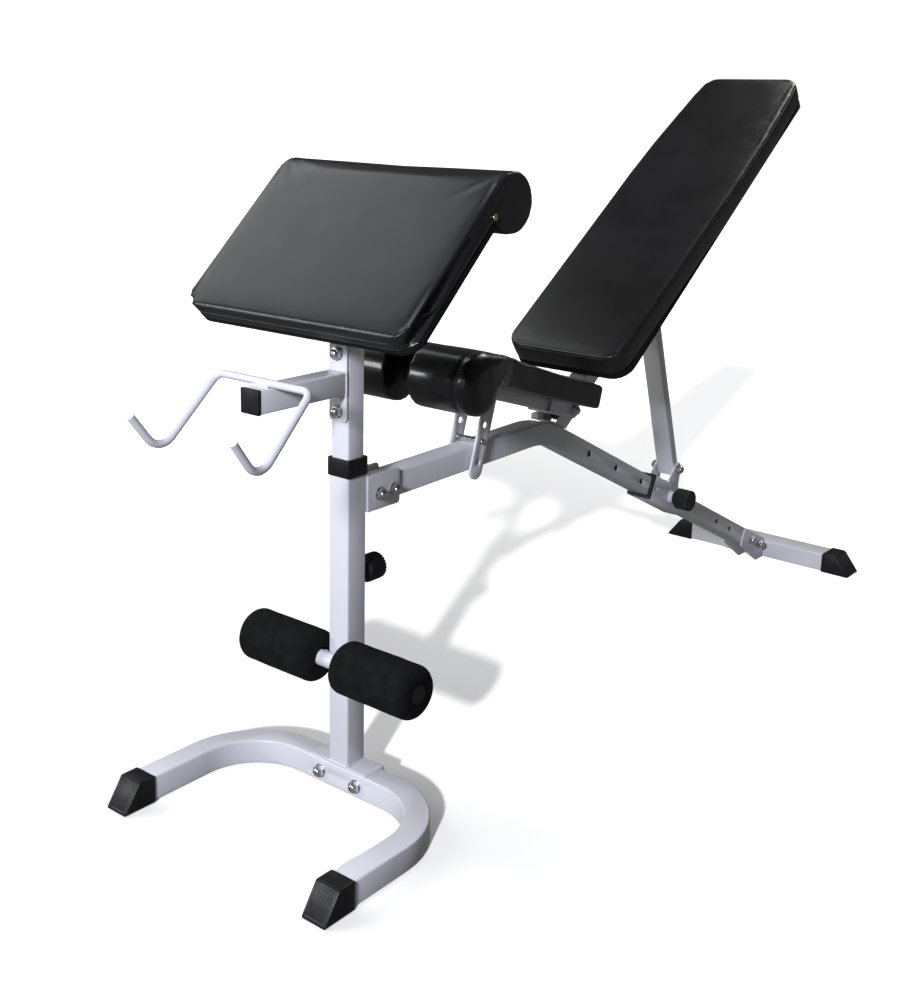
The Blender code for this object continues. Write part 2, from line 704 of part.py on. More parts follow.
def seat():
    pivot = empty("seat_hinge", hinge, (-SEAT_TILT, 0, 0), bench)
    width, depth = SEAT_TUBE
    front, rear = SEAT_TUBE_SPAN
    square_tube("seat_tube", SEAT_TUBE, rear - front, PAINT, pivot, (0, rear, 0), TO_FRONT)
    low = -depth / 2 - GAP

    half = BACK_TUBE / 2 + 0.0043
    outline = [
        (FORK_FRONT, low - PLATE, 0.003),
        (FORK_REAR, low - PLATE, 0.0135),
        (FORK_REAR, -low - 0.001, 0.0135),
        (FORK_FRONT, -low - 0.001, 0.003),
    ]
    fork = bracket("seat_fork", rounded(outline), 2 * (half + PLATE), pivot)
    cut(fork, pocket(pivot, (-half, -0.2, low), (half, 0.1, 0.1)))
    cut(fork, pocket(pivot, (-half, rear - 0.004, -0.1), (half, 0.1, 0.1)))
    cut(fork, drill(pivot, (0, 0, 0), PIVOT_HOLE))
    through_bolt("pivot_bolt", pivot, (0, 0, 0), half + PLATE)

    inside, plate = ADJUSTER_INSIDE, THICK_PLATE
    outline = [
        (ADJUSTER_Y - ADJUSTER_HALF, low, 0),
        (ADJUSTER_Y - ADJUSTER_HALF, ADJUSTER_FOOT, ADJUSTER_HALF - 0.0001),
        (ADJUSTER_Y + ADJUSTER_HALF, ADJUSTER_FOOT, ADJUSTER_HALF - 0.0001),
        (ADJUSTER_Y + ADJUSTER_HALF, low, 0),
    ]
    adjuster = bracket("adjuster_bracket", rounded(outline, steps=6), 2 * (inside + plate), pivot)
    cut(adjuster, pocket(pivot, (-inside, -0.4, -0.2), (inside, -0.2, low - plate)))
    cut(adjuster, *[drill(pivot, (0, ADJUSTER_Y, z), PIN_RADIUS + 0.0011) for z in ADJUSTER_HOLES])
    pin_slide = empty("seat_pin_slide", (0, ADJUSTER_Y, ADJUSTER_HOLES[1]), parent=pivot)
    end = inside + plate
    levels = [(-end - 0.0045, 0.0075, "round"), (-end - 0.0005, 0.0085, "round")]
    levels += [(-end - 0.0004, PIN_RADIUS, "round")]
    levels += [(end + 0.002, PIN_RADIUS, "round"), (end + 0.0035, PIN_RADIUS - 0.0015, "round")]
    stacked("seat_pin", levels, ZINC, pin_slide, rotation=TO_RIGHT)

    under = -low
    lip = SEAT_LIP + 0.0005
    front, rear = SEAT_FRONT + lip, SEAT_REAR - lip
    size = (2 * (SEAT_HALF - lip), rear - front, SEAT_BOARD)
    box("seat_board", size, BOARD, pivot, (0, (front + rear) / 2, under + SEAT_BOARD / 2))
    size = (2 * SEAT_HALF, SEAT_REAR - SEAT_FRONT, SEAT_TOP - SEAT_UNDER)
    middle = (0, (SEAT_FRONT + SEAT_REAR) / 2, (SEAT_TOP + SEAT_UNDER) / 2)
    pad = bevel(box("seat_pad", size, VINYL, pivot, middle), 0.008, 3)
    side = SEAT_HALF - SEAT_LIP
    ceiling = under + SEAT_BOARD + GAP
    cut(pad, pocket(pivot, (-side, SEAT_FRONT + SEAT_LIP, -0.1), (side, 0, ceiling)))
    length = SEAT_ROLL_END - SEAT_NOTCH
    for name, side in sides("seat_roll"):
        x = side * (SEAT_ROLL_END + SEAT_NOTCH) / 2
        edge = 0.008
        levels = [(-length / 2, SEAT_ROLL - edge, "round"), (-length / 2 + edge, SEAT_ROLL, "round")]
        levels += [(length / 2 - edge, SEAT_ROLL, "round"), (length / 2, SEAT_ROLL - edge, "round")]
        stacked(name, levels, VINYL, pivot, (x, SEAT_ROLL_Y, SEAT_ROLL_Z), TO_RIGHT, points=32)


# Backrest ---------------------------------------------------------------------------------------
def pad_outline(inset=0.0):
    low, high = BACK_HALF_LOW - inset, BACK_HALF_HIGH - inset
    start, end = BACK_START + inset, BACK_END - inset
    corners = [(-low, start, 0.035), (low, start, 0.035), (high, end, 0.030), (-high, end, 0.030)]
    return rounded(corners)


def backrest():
    pivot = empty("back_hinge", hinge, (BACK_TILT, 0, 0), bench)
    half = BACK_TUBE / 2
    end, far = BACK_TUBE_SPAN
    tube = square_tube("back_tube", (BACK_TUBE, BACK_TUBE), far - end, PAINT, pivot, (0, end, 0), TO_REAR)
    cut(tube, drill(pivot, (0, 0, 0), PIVOT_HOLE))
    plug_at = (0, end - GAP - BACK_PLUG / 2, 0)
    plug = box("back_plug", (BACK_TUBE, BACK_PLUG, BACK_TUBE), PLASTIC, pivot, plug_at)
    bevel(plug, 0.001)
    board_low = BACK_FACE - BACK_FOAM - BACK_BOARD - 2 * GAP
    tall = board_low - half - 2 * GAP
    for name, y in (("back_cross_low", CROSS_LOW), ("back_cross_high", CROSS_HIGH)):
        start = (-CROSS_HALF, y, half + GAP + tall / 2)
        square_tube(name, (tall, 0.030), 2 * CROSS_HALF, PAINT, pivot, start, TO_RIGHT)
    board_at = (0, 0, board_low + BACK_BOARD / 2)
    flat("back_board", pad_outline(0.002), BACK_BOARD, BOARD, pivot, board_at)
    foam_at = (0, 0, BACK_FACE - BACK_FOAM / 2)
    pad = meshed(flat("back_pad", pad_outline(), BACK_FOAM, VINYL, pivot, foam_at))
    bevel(pad, 0.010, 3, 60)

    low = -half - GAP
    inside = STRUT_SIZE[0] / 2 + 0.0015
    foot = low - CHANNEL_DEPTH
    outline = [
        (CHANNEL_START, low, 0.002),
        (CHANNEL_START, foot, 0.012),
        (CHANNEL_END, foot, 0.012),
        (CHANNEL_END, low, 0.002),
    ]
    channel = bracket("strut_channel", rounded(outline), 2 * (inside + PLATE), pivot)
    cut(channel, pocket(pivot, (-inside, 0.2, -0.2), (inside, 0.6, low - PLATE)))


# Sleeve and strut ---------------------------------------------------------------------------------
def sleeve():
    slide = empty("sleeve_slide", (0, SLEEVE_ALONG, 0), parent=rail)
    size = (SLEEVE_SIZE, SLEEVE_SIZE)
    length = SLEEVE_REAR - SLEEVE_FRONT
    tube = square_tube("sleeve", size, length, PAINT, slide, (0, SLEEVE_FRONT, 0), TO_REAR, wall=SLEEVE_WALL)
    cut(tube, drill(slide, (SLEEVE_SIZE / 2, 0, 0), KNOB_PIN_HOLE, 0.01))
    cut(tube, drill(slide, (SLEEVE_SIZE / 2, SLEEVE_FRONT + 0.010, 0), 0.004, 0.01))
    middle = (0, SLEEVE_FRONT - GAP - LINER_LENGTH / 2, 0)
    square_ring("sleeve_liner", SLEEVE_SIZE, TUBE + SLIDE_GAP, LINER_LENGTH, slide, middle, TO_REAR)

    base = SLEEVE_SIZE / 2 + GAP
    inside = STRUT_SIZE[0] / 2 + 0.0010
    outline = lug(-0.024, 0.024, base, (0, EAR_ABOVE), EYE_RADIUS - 0.002)
    ears = bracket("sleeve_ears", outline, 2 * (inside + PLATE), slide)
    cut(ears, pocket(slide, (-inside, -0.1, base + PLATE), (inside, 0.1, 0.1)))
    cut(ears, drill(slide, (0, 0, EAR_ABOVE), PIVOT_HOLE))

    boss("sleeve_boss", slide, (base, 0, 0), TO_RIGHT)
    tip = TUBE / 2 + 0.0008
    knob_slide = empty("sleeve_knob_slide", (tip, 0, 0), TO_RIGHT, slide)
    pull_knob("sleeve_knob", knob_slide, (0, 0, 0), (0, 0, 0), base + BOSS_LENGTH + GAP - tip)

    tilt = STRUT_TILT + RAIL_DROP
    pivot = empty("strut_hinge", (0, 0, EAR_ABOVE), (tilt, 0, 0), slide)
    length = STRUT_LENGTH + STRUT_HEEL + STRUT_HEAD
    strut = square_tube("strut", STRUT_SIZE, length, PAINT, pivot, (0, 0, -STRUT_HEEL))
    cut(strut, drill(pivot, (0, 0, 0), PIVOT_HOLE))
    through_bolt("strut_bolt", pivot, (0, 0, 0), inside + PLATE)


front_base()
post()
rollers()
beam()
rear_foot()
lift()
seat()
backrest()
sleeve()
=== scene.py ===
"""Looks of the adjustable weight bench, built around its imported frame.

Every piece is in the frame's own metres: X across the bench, +Y towards the rear foot, +Z up.
"""

import json
import math

import bmesh
import bpy
import numpy as np
from mathutils import Matrix, Vector, noise
from mathutils.bvhtree import BVHTree
from mathutils.kdtree import KDTree

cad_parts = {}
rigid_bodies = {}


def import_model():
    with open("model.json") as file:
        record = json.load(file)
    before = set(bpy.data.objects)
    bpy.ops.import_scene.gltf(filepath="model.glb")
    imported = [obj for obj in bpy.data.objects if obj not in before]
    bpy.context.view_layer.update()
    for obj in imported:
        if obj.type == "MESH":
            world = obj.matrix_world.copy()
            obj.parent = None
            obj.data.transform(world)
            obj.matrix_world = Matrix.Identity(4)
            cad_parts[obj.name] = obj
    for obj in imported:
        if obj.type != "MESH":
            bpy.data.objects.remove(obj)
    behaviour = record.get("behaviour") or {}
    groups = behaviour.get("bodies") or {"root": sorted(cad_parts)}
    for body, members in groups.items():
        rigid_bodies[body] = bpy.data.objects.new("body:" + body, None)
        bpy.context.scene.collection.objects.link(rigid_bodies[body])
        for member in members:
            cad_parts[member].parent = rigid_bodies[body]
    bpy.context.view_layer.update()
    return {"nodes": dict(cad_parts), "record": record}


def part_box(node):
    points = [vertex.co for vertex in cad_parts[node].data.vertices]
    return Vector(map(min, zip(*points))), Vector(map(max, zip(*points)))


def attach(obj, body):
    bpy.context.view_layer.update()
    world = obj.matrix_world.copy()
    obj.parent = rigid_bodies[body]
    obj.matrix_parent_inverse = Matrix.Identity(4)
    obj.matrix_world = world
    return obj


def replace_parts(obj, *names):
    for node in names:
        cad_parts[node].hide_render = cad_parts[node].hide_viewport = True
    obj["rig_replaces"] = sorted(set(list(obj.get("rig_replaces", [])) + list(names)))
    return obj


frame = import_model()

# Where the camera stands from the post, how it is turned in degrees, and its lens.
CAMERA_FROM_POST = Vector((1.2806, -1.3703, 1.0691))
CAMERA_TURN = (76.8975, -1.1103, 39.2384)
CAMERA_LENS = 46.661
CAMERA_SHIFT = (0.02396, -0.100)

# Cushion making: voxel size, how near a point must lie to the shape to be put back onto it, how far a
# cover is drawn in first and the stuffing may push it out, and how much of its space it fills.
VOXEL = 0.005
GRIP = 0.8 * VOXEL
DRAWN_IN = 0.0015
SWELL = {"curl": 0.0032, "seat": 0.0045, "back": 0.0040}
PRESSURE = 4
CLOTH_FRAMES = 20

# Seams: the welt, how a seam draws the cover in, how closely its path is followed, and its thread.
WELT_RADIUS = 0.0013
WELT_PITCH = 0.006
SEAM_WIDTH = 0.0045
SEAM_PITCH = 0.0015
SEAM_CALMING = 4
STITCH_PITCH = 0.0062
STITCH_LENGTH = 0.0040
STITCH_RADIUS = 0.00055

# Preacher pad: the board's low edge in the pad's frame, its foam, the roll over its top, its length,
# the round of its lower corners, its welt's depth under the face, its edge and its seams' depth.
CURL_BOARD_LOW = (0.003, -0.0418)
CURL_FOAM = 0.0315
CURL_ROLL = 0.045
CURL_LENGTH = 0.284
CURL_CORNER = 0.030
CURL_BAND = 0.016
CURL_EDGE = 0.009
CURL_PRESS = 0.0012

# Seat: the tube's low edge in the seat's frame, the pad, where it flares and rises towards its front
# rolls, the rolls' centre, radii, crest, gap and ends, the seams, the ends' round, and the share of
# the flare that the pad's flank follows.
SEAT_TUBE_LOW = (-0.400, -0.0125)
SEAT_HALF = 0.122
SEAT_TOP = 0.050
SEAT_UNDER = 0.008
SEAT_FRONT = -0.4105
SEAT_REAR = -0.072
SEAT_FLARE = (-0.300, -0.425)
SEAT_RISE = (-0.420, -0.200)
SEAT_ROLL_AT = (-0.445, 0.002)
SEAT_ROLL = (0.048, 0.051)
SEAT_CREST = 0.0565
SEAT_NOTCH = 0.022
SEAT_ROLL_END = 0.145
SEAT_SEAM_IN = 0.0280
SEAT_PRESS = 0.0013
SEAT_ROUND = 0.022
SEAT_FLANK = 0.55

# Backrest: the tube's low edge in its frame, the pad's span, (y, half width) along it, its lower and
# upper corners, its face's height and its foam, and its seams' width and depth.
BACK_TUBE_LOW = (-0.013, -0.0175)
BACK_SPAN = (0.045, 0.905)
BACK_WIDTHS = (
    (0.045, 0.1230),
    (0.350, 0.1245),
    (0.570, 0.1255),
    (0.660, 0.1235),
    (0.760, 0.1170),
    (0.905, 0.1070),
)
BACK_CORNER = (0.035, 0.030)
BACK_FACE = 0.103
BACK_FOAM = 0.045
BACK_SEAM = (0.0035, 0.0016)

# Bolts: a washer's thickness, and how far a long bolt's nut sits in from the bolt's end.
WASHER_THICK = 0.0016
NUT_INSET = 0.0141

# Where the hook bar crosses the arm, and its thickness there.
HOOK_BAR_Y = -0.763
HOOK_BAR_THICK = 0.0114

# Foam rollers: bore, rounded ends, and the (scale, depth) of the skin's dents.
ROLLER_BORE = 0.0130
FOAM_ROUND = 0.015
FOAM_DENTS = ((22, 0.0007), (70, 0.00025))
FOAM_INSET = 0.0006

# Pull knobs: (share of the radius, height) from the stem out, (share, drop) over the end, and flutes.
KNOB_PIN = 0.0045
KNOB_RADIUS = 0.0215
KNOB_LENGTH = 0.041
KNOB_SHOULDER = (
    (0.52, 0.0),
    (0.60, 0.0006),
    (0.66, 0.0030),
    (0.84, 0.0058),
    (0.96, 0.0082),
    (1.00, 0.0105),
    (1.00, 0.0130),
    (1.00, 0.0300),
)
KNOB_END = (
    (1.00, 0.0035),
    (0.97, 0.0015),
    (0.88, 0.0003),
    (0.70, 0.0),
    (0.62, 0.0008),
    (0.30, 0.0012),
    (0.05, 0.0012),
)
KNOB_FLUTES = 24
KNOB_FLUTE_DEPTH = 0.0016
KNOB_FLUTES_FROM = KNOB_SHOULDER[3][1]
KNOB_FLUTES_TO = KNOB_END[2][1]

# Foot caps: how far each sloping face runs back, its raised border and margin, and its ribs.
FRONT_CAP_RUN = 0.030
REAR_CAP_RUN = 0.0345
CAP_BORDER = 0.0024
CAP_MARGIN = 0.0026
CAP_SINK = 0.0020
CAP_RIB_PITCH = 0.0046

# Welds: how closely a bead's path is followed, and how much its thickness varies.
WELD_PITCH = 0.0022
WELD_RIPPLE = 0.22

# Nodes whose round faces stay as they are.
ROUND_NODES = ("hook_rod", "roller_axle", "roller_plug_left", "roller_plug_right")

# Studio: the world's strength for the camera and for the bench, the floor's colour for the bench and
# for the camera, its (name, source, energy, angle) suns, the (first y, last y, glow) that fades its
# far shadows, and the (name, place, size, energy, colour) lights on the bench.
WORLD_WHITE = 1.05
WORLD_FILL = 0.072
FLOOR_HALF = 40.0
FLOOR_LEVEL = -0.0004
FLOOR_BOUNCE = 0.44
FLOOR_GAIN = 3.25
FLOOR_SUNS = (
    ("floor_sun", (1.0, -2.14, 1.0), 1.50, math.radians(2.5)),
    ("floor_fill", (-1.6, -0.6, 1.2), 0.44, math.radians(50)),
)
FLOOR_FADE = (-0.60, 1.40, 0.44)
LIGHT_AIM = (0, -0.5, 0.45)
LIGHTS = (
    ("key", (0.90, -3.70, 2.05), 0.6, 124, (0.94, 0.97, 1.10)),
    ("softbox", (-2.1, -0.5, 2.4), 2.0, 17, (0.97, 0.98, 1.0)),
    ("front", (-2.4, -3.3, 1.5), 0.8, 34, (0.97, 0.98, 1.0)),
    ("top", (0.1, 1.6, 2.6), 1.2, 26, (1.0, 0.98, 0.95)),
)

# Roughness of the covers, from its smoothest to its dullest spots.
VINYL_ROUGHNESS = (0.29, 0.35)

# Edge softening of metal and plastic parts.
METAL_EDGE = 0.0005
PLASTIC_EDGE = 0.0009
SMOOTH_ANGLE = math.radians(38)

SCENE = bpy.context.scene


# Reading the frame --------------------------------------------------------------------------------
def points_of(node):
    """A CAD node's corners, each once."""
    corners = np.array([v.co for v in frame["nodes"][node].data.vertices], float)
    return np.unique(np.round(corners, 6), axis=0)


def slant(straight_node, node=None):
    """A matrix for a node that lies at a slant, and the node's size in it.

    Y runs along straight_node towards the rear, Z is square to it and up, and the origin is the
    low-Y, low-Z edge of the node at X = 0.
    """
    flat = points_of(straight_node)[:, 1:]
    along = np.linalg.svd(flat - flat.mean(0), full_matrices=False)[2][0]
    along = along if along[0] > 0 else -along
    up = np.array((-along[1], along[0]))
    corners = points_of(node or straight_node)
    ys, zs = corners[:, 1:] @ along, corners[:, 1:] @ up
    origin = ys.min() * along + zs.min() * up
    rows = ((1, 0, 0, 0), (0, along[0], up[0], origin[0]), (0, along[1], up[1], origin[1]), (0, 0, 0, 1))
    matrix = Matrix(rows)
    return matrix, Vector((np.ptp(corners[:, 0]), np.ptp(ys), np.ptp(zs)))


def local_frame(node, low):
    """A slanted frame along a straight node, in which the node's low edge is at low (y, z)."""
    matrix, _ = slant(node)
    return matrix @ Matrix.Translation((0, -low[0], -low[1]))


def middle(node):
    low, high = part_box(node)
    return (low + high) / 2


def face_middle(node, direction):
    """The middle of the side of a node's box that faces along an axis."""
    low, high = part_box(node)
    return (low + high) / 2 + direction * abs((high - low).dot(direction)) / 2


def side_name(sign):
    return "left" if sign < 0 else "right"


BODY_OF = {node: body for body, nodes in frame["record"]["behaviour"]["bodies"].items() for node in nodes}
SLOT_OF = {row["node"]: row["material_slot"] for row in frame["record"]["subparts"]}


# Materials ----------------------------------------------------------------------------------------
class Shading:
    """A Principled material with helpers that feed its colour, roughness and bump from noise."""

    def __init__(self, name, roughness, metallic=0.0, **sockets):
        self.material = bpy.data.materials.new(name)
        self.material.use_nodes = True
        self.tree = self.material.node_tree
        self.shader = self.tree.nodes["Principled BSDF"]
        self.shader.inputs["Roughness"].default_value = roughness
        self.shader.inputs["Metallic"].default_value = metallic
        for socket, value in sockets.items():
            self.shader.inputs[socket.replace("_", " ")].default_value = value
        self.place = self.node("ShaderNodeTexCoord").outputs["Object"]
        self.normal = None

    def node(self, kind, **inputs):
        made = self.tree.nodes.new(kind)
        for socket, value in inputs.items():
            made.inputs[socket.replace("_", " ")].default_value = value
        return made

    def link(self, output, target):
        self.tree.links.new(output, target)

    def noise(self, scale, detail=4.0, stretch=None):
        made = self.node("ShaderNodeTexNoise", Scale=scale, Detail=detail)
        source = self.place
        if stretch:
            mapping = self.node("ShaderNodeMapping", Scale=stretch)
            self.link(source, mapping.inputs["Vector"])
            source = mapping.outputs["Vector"]
        self.link(source, made.inputs["Vector"])
        return made.outputs["Fac"]

    def cells(self, scale):
        made = self.node("ShaderNodeTexVoronoi", Scale=scale)
        self.link(self.place, made.inputs["Vector"])
        return made.outputs["Distance"]

    def spread(self, value, low, high):
        """Spreads the middle of a noise, which it rarely leaves, from low to high."""
        made = self.node("ShaderNodeMapRange", From_Min=0.3, From_Max=0.7, To_Min=low, To_Max=high)
        self.link(value, made.inputs["Value"])
        return made.outputs["Result"]

    def colour(self, value, first, second):
        made = self.node("ShaderNodeMix")
        made.data_type = "RGBA"
        made.inputs[6].default_value = (*first, 1)
        made.inputs[7].default_value = (*second, 1)
        self.link(self.spread(value, 0, 1), made.inputs[0])
        self.link(made.outputs[2], self.shader.inputs["Base Color"])

    def roughness(self, value, low, high):
        self.link(self.spread(value, low, high), self.shader.inputs["Roughness"])

    def bump(self, height, distance, strength=1.0):
        made = self.node("ShaderNodeBump", Distance=distance, Strength=strength)
        self.link(height, made.inputs["Height"])
        if self.normal:
            self.link(self.normal, made.inputs["Normal"])
        self.normal = made.outputs["Normal"]
        self.link(self.normal, self.shader.inputs["Normal"])


def painted_steel():
    look = Shading("powder_coat", 0.34, Coat_Weight=0.15, Coat_Roughness=0.2)
    look.colour(look.noise(6.0, 3.0), (0.735, 0.738, 0.765), (0.765, 0.768, 0.795))
    look.roughness(look.noise(45.0), 0.30, 0.40)
    look.bump(look.noise(420.0, 2.0), 0.00012, 0.35)
    look.bump(look.noise(30.0, 2.0), 0.0006, 0.10)
    return look.material


def vinyl(name, dark, light, specular=0.55, coat=0.0):
    low, high = VINYL_ROUGHNESS
    look = Shading(name, low, Specular_IOR_Level=specular, Coat_Weight=coat, Coat_Roughness=0.13)
    look.colour(look.noise(9.0, 5.0), dark, light)
    look.roughness(look.noise(26.0, 6.0), low, high)
    look.bump(look.noise(5.0, 1.0), 0.004, 0.05)
    look.bump(look.cells(780.0), 0.00030, 0.30)
    look.bump(look.noise(2100.0, 2.0), 0.00012, 0.25)
    return look.material


def foam():
    look = Shading("closed_cell_foam", 0.95, Specular_IOR_Level=0.15)
    look.colour(look.noise(60.0, 6.0), (0.0045, 0.0045, 0.0048), (0.0105, 0.0105, 0.011))
    look.bump(look.noise(55.0, 4.0), 0.0012, 0.30)
    look.bump(look.cells(520.0), 0.00055, 0.55)
    look.bump(look.noise(1400.0, 3.0), 0.0004, 0.35)
    return look.material


def moulded_plastic():
    look = Shading("moulded_plastic", 0.42, Specular_IOR_Level=0.35)
    look.colour(look.noise(14.0, 4.0), (0.0065, 0.0065, 0.0075), (0.0115, 0.0115, 0.013))
    look.roughness(look.noise(70.0), 0.36, 0.50)
    look.bump(look.noise(900.0, 3.0), 0.00012, 0.40)
    return look.material


# A lighter copy of the caps' black plastic for their ribs and border. The lighter colour is painted
# highlight, standing in for the light that their edges catch.
def painted_highlight_plastic():
    look = Shading("painted_highlight_plastic", 0.38)
    look.colour(look.noise(90.0, 5.0), (0.014, 0.014, 0.0155), (0.036, 0.036, 0.039))
    look.roughness(look.noise(120.0), 0.32, 0.50)
    look.bump(look.noise(900.0, 3.0), 0.00012, 0.40)
    return look.material


def zinc():
    look = Shading("zinc_plate", 0.26, 1.0)
    look.colour(look.noise(160.0, 3.0), (0.60, 0.60, 0.62), (0.72, 0.72, 0.735))
    look.roughness(look.noise(260.0), 0.20, 0.36)
    look.bump(look.noise(900.0, 2.0), 0.00005, 0.25)
    return look.material


def brass():
    look = Shading("brass_tack", 0.25, 1.0)
    look.colour(look.noise(300.0, 3.0), (0.60, 0.47, 0.24), (0.72, 0.58, 0.32))
    look.roughness(look.noise(500.0), 0.20, 0.38)
    return look.material


def backing_cloth():
    look = Shading("backing_cloth", 0.95, Specular_IOR_Level=0.2)
    look.colour(look.noise(400.0, 3.0), (0.004, 0.004, 0.004), (0.012, 0.012, 0.012))
    look.bump(look.noise(900.0, 2.0, (1.0, 0.15, 0.15)), 0.0003, 0.4)
    look.bump(look.noise(900.0, 2.0, (0.15, 1.0, 1.0)), 0.0003, 0.4)
    return look.material


def thread():
    look = Shading("seam_thread", 0.55, Sheen_Weight=0.3)
    look.colour(look.noise(1500.0, 2.0), (0.030, 0.030, 0.032), (0.075, 0.075, 0.080))
    look.bump(look.noise(2500.0, 2.0), 0.0002, 0.4)
    return look.material


LOOKS = {
    "white_paint": painted_steel(),
    "black_foam": foam(),
    "black_plastic": moulded_plastic(),
    "painted_highlight_plastic": painted_highlight_plastic(),
    "zinc_steel": zinc(),
    "black_board": backing_cloth(),
    "brass": brass(),
    "thread": thread(),
    "black_vinyl": vinyl("vinyl", (0.0075, 0.0075, 0.0078), (0.0125, 0.0125, 0.013)),
    # The seat's cover is a darker copy of the covers' vinyl. Its darker colour is painted shade that keeps
    # the seat's shaded sides dark; its lower specular and clear coat are the seat's own gloss.
    "seat_vinyl": vinyl("seat_vinyl", (0.0035, 0.0035, 0.0037), (0.0062, 0.0062, 0.0066), 0.30, 0.4),
}


# Pieces -------------------------------------------------------------------------------------------
def new_object(name, mesh):
    made = bpy.data.objects.new(name, mesh)
    SCENE.collection.objects.link(made)
    return made


def from_bmesh(name, bm, matrix=None):
    mesh = bpy.data.meshes.new(name)
    bmesh.ops.recalc_face_normals(bm, faces=bm.faces)
    bm.to_mesh(mesh)
    bm.free()
    if matrix:
        mesh.transform(matrix)
    return new_object(name, mesh)


def evaluated_mesh(obj):
    bpy.context.view_layer.update()
    return bpy.data.meshes.new_from_object(obj.evaluated_get(bpy.context.evaluated_depsgraph_get()))


def bake(obj):
    """Applies an object's modifiers."""
    mesh = evaluated_mesh(obj)
    obj.modifiers.clear()
    obj.data = mesh
    return obj


def smooth(obj, angle=SMOOTH_ANGLE):
    obj.data.polygons.foreach_set("use_smooth", [True] * len(obj.data.polygons))
    obj.data.set_sharp_from_angle(angle=angle)
    return obj


def soften(obj, width, segments=2, angle=math.radians(32)):
    edge = obj.modifiers.new("edge", "BEVEL")
    edge.width = width
    edge.segments = segments
    edge.limit_method = "ANGLE"
    edge.angle_limit = angle
    edge.harden_normals = False
    return bake(obj)


def finished(obj, body, slot, look=None, replaced=()):
    """Gives a piece its material, its body and the nodes that it stands for."""
    obj.data.materials.clear()
    obj.data.materials.append(LOOKS[look or slot])
    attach(obj, body)
    if replaced:
        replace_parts(obj, *replaced)
    return obj


def refined(node, edge):
    """A part with the CAD node's own shape, its edges softened and its curves shaded smooth."""
    bm = bmesh.new()
    bm.from_mesh(frame["nodes"][node].data)
    bmesh.ops.remove_doubles(bm, verts=bm.verts, dist=2e-6)
    bmesh.ops.dissolve_limit(bm, angle_limit=math.radians(0.6), verts=bm.verts, edges=bm.edges)
    made = from_bmesh(node + ".fine", bm)
    if edge:
        soften(made, edge)
    smooth(made)
    finished(made, BODY_OF[node], SLOT_OF[node], replaced=[node])


def loft(bm, rings, closed=False):
    """Faces from each ring of points to the next, capped at both ends unless the last meets the first."""
    for lower, upper in zip(rings, rings[1:] + rings[:1] if closed else rings[1:]):
        for step, corner in enumerate(lower):
            after = (step + 1) % len(lower)
            bm.faces.new((corner, lower[after], upper[after], upper[step]))
    if not closed:
        bm.faces.new(rings[0][::-1])
        bm.faces.new(rings[-1])


def turned(name, profile, matrix, steps=48, ribs=0, rib_depth=0.0, rib_span=(0, 0)):
    """A (radius, height) profile turned around local Z, with flat ends unless it ends where it starts.

    Between the two heights of rib_span, ribs flutes of rib_depth run along it.
    """
    closed = profile[0] == profile[-1]
    bm = bmesh.new()
    rings = []
    for radius, height in profile[:-1] if closed else profile:
        fluted = ribs and rib_span[0] <= height <= rib_span[1]
        ring = []
        for step in range(steps):
            angle = math.tau * step / steps
            reach = radius
            if fluted:
                reach -= rib_depth * (0.5 - 0.5 * math.cos(ribs * angle)) ** 2
            ring.append(bm.verts.new((reach * math.cos(angle), reach * math.sin(angle), height)))
        rings.append(ring)
    loft(bm, rings, closed)
    return from_bmesh(name, bm, matrix)


def pointing(at, direction):
    """A matrix that puts local Z along direction at a point."""
    return Matrix.Translation(at) @ Vector(direction).to_track_quat("Z", "Y").to_matrix().to_4x4()


def arc(centre, radius, start, end, steps):
    """(x, y) points on an arc, with angles in degrees."""
    angles = [math.radians(start + (end - start) * step / steps) for step in range(steps + 1)]
    return [(centre[0] + radius * math.cos(a), centre[1] + radius * math.sin(a)) for a in angles]


# Hardware -----------------------------------------------------------------------------------------
def hex_nut(name, at, direction, across=0.0170, tall=0.0068, washer=0.0105):
    """A washer, a hex nut and its dome, on a face at a point."""
    bm = bmesh.new()
    half = across / 2
    thick = WASHER_THICK

    def ring(radius, height, hexagon, steps=48):
        made = []
        for step in range(steps):
            angle = math.tau * step / steps
            flat = half / math.cos((angle + math.pi / 6) % (math.pi / 3) - math.pi / 6)
            reach = min(radius, flat) if hexagon else radius
            made.append(bm.verts.new((reach * math.cos(angle), reach * math.sin(angle), height)))
        return made

    corner = half / math.cos(math.pi / 6)
    dome = half * 0.86
    levels = [(washer - 0.0002, 0.0, False), (washer, 0.0003, False), (washer, thick - 0.0003, False)]
    levels += [(washer - 0.0003, thick, False), (half * 0.94, thick, False)]
    levels += [(corner * 0.93, thick + 0.0001, True), (corner, thick + 0.0009, True)]
    levels += [(corner, thick + tall - 0.0012, True), (corner * 0.92, thick + tall - 0.0003, True)]
    levels += [(dome, thick + tall, False)]
    turns = [math.radians(a) for a in (12, 26, 40, 54, 68, 80)]
    levels += [(dome * math.cos(a), thick + tall + dome * 0.72 * math.sin(a), False) for a in turns]
    loft(bm, [ring(*level) for level in levels])
    return smooth(from_bmesh(name, bm, pointing(at, direction)), math.radians(30))


def button_head(name, at, direction, radius=0.0088, tall=0.0042):
    """A domed head on a face at a point."""
    profile = [(radius - 0.0003, 0), (radius, 0.0004), (radius, 0.0010)]
    for angle in range(12, 85, 12):
        turn = math.radians(angle)
        profile.append((radius * math.cos(turn), 0.0010 + tall * math.sin(turn)))
    return smooth(turned(name, profile, pointing(at, direction)))


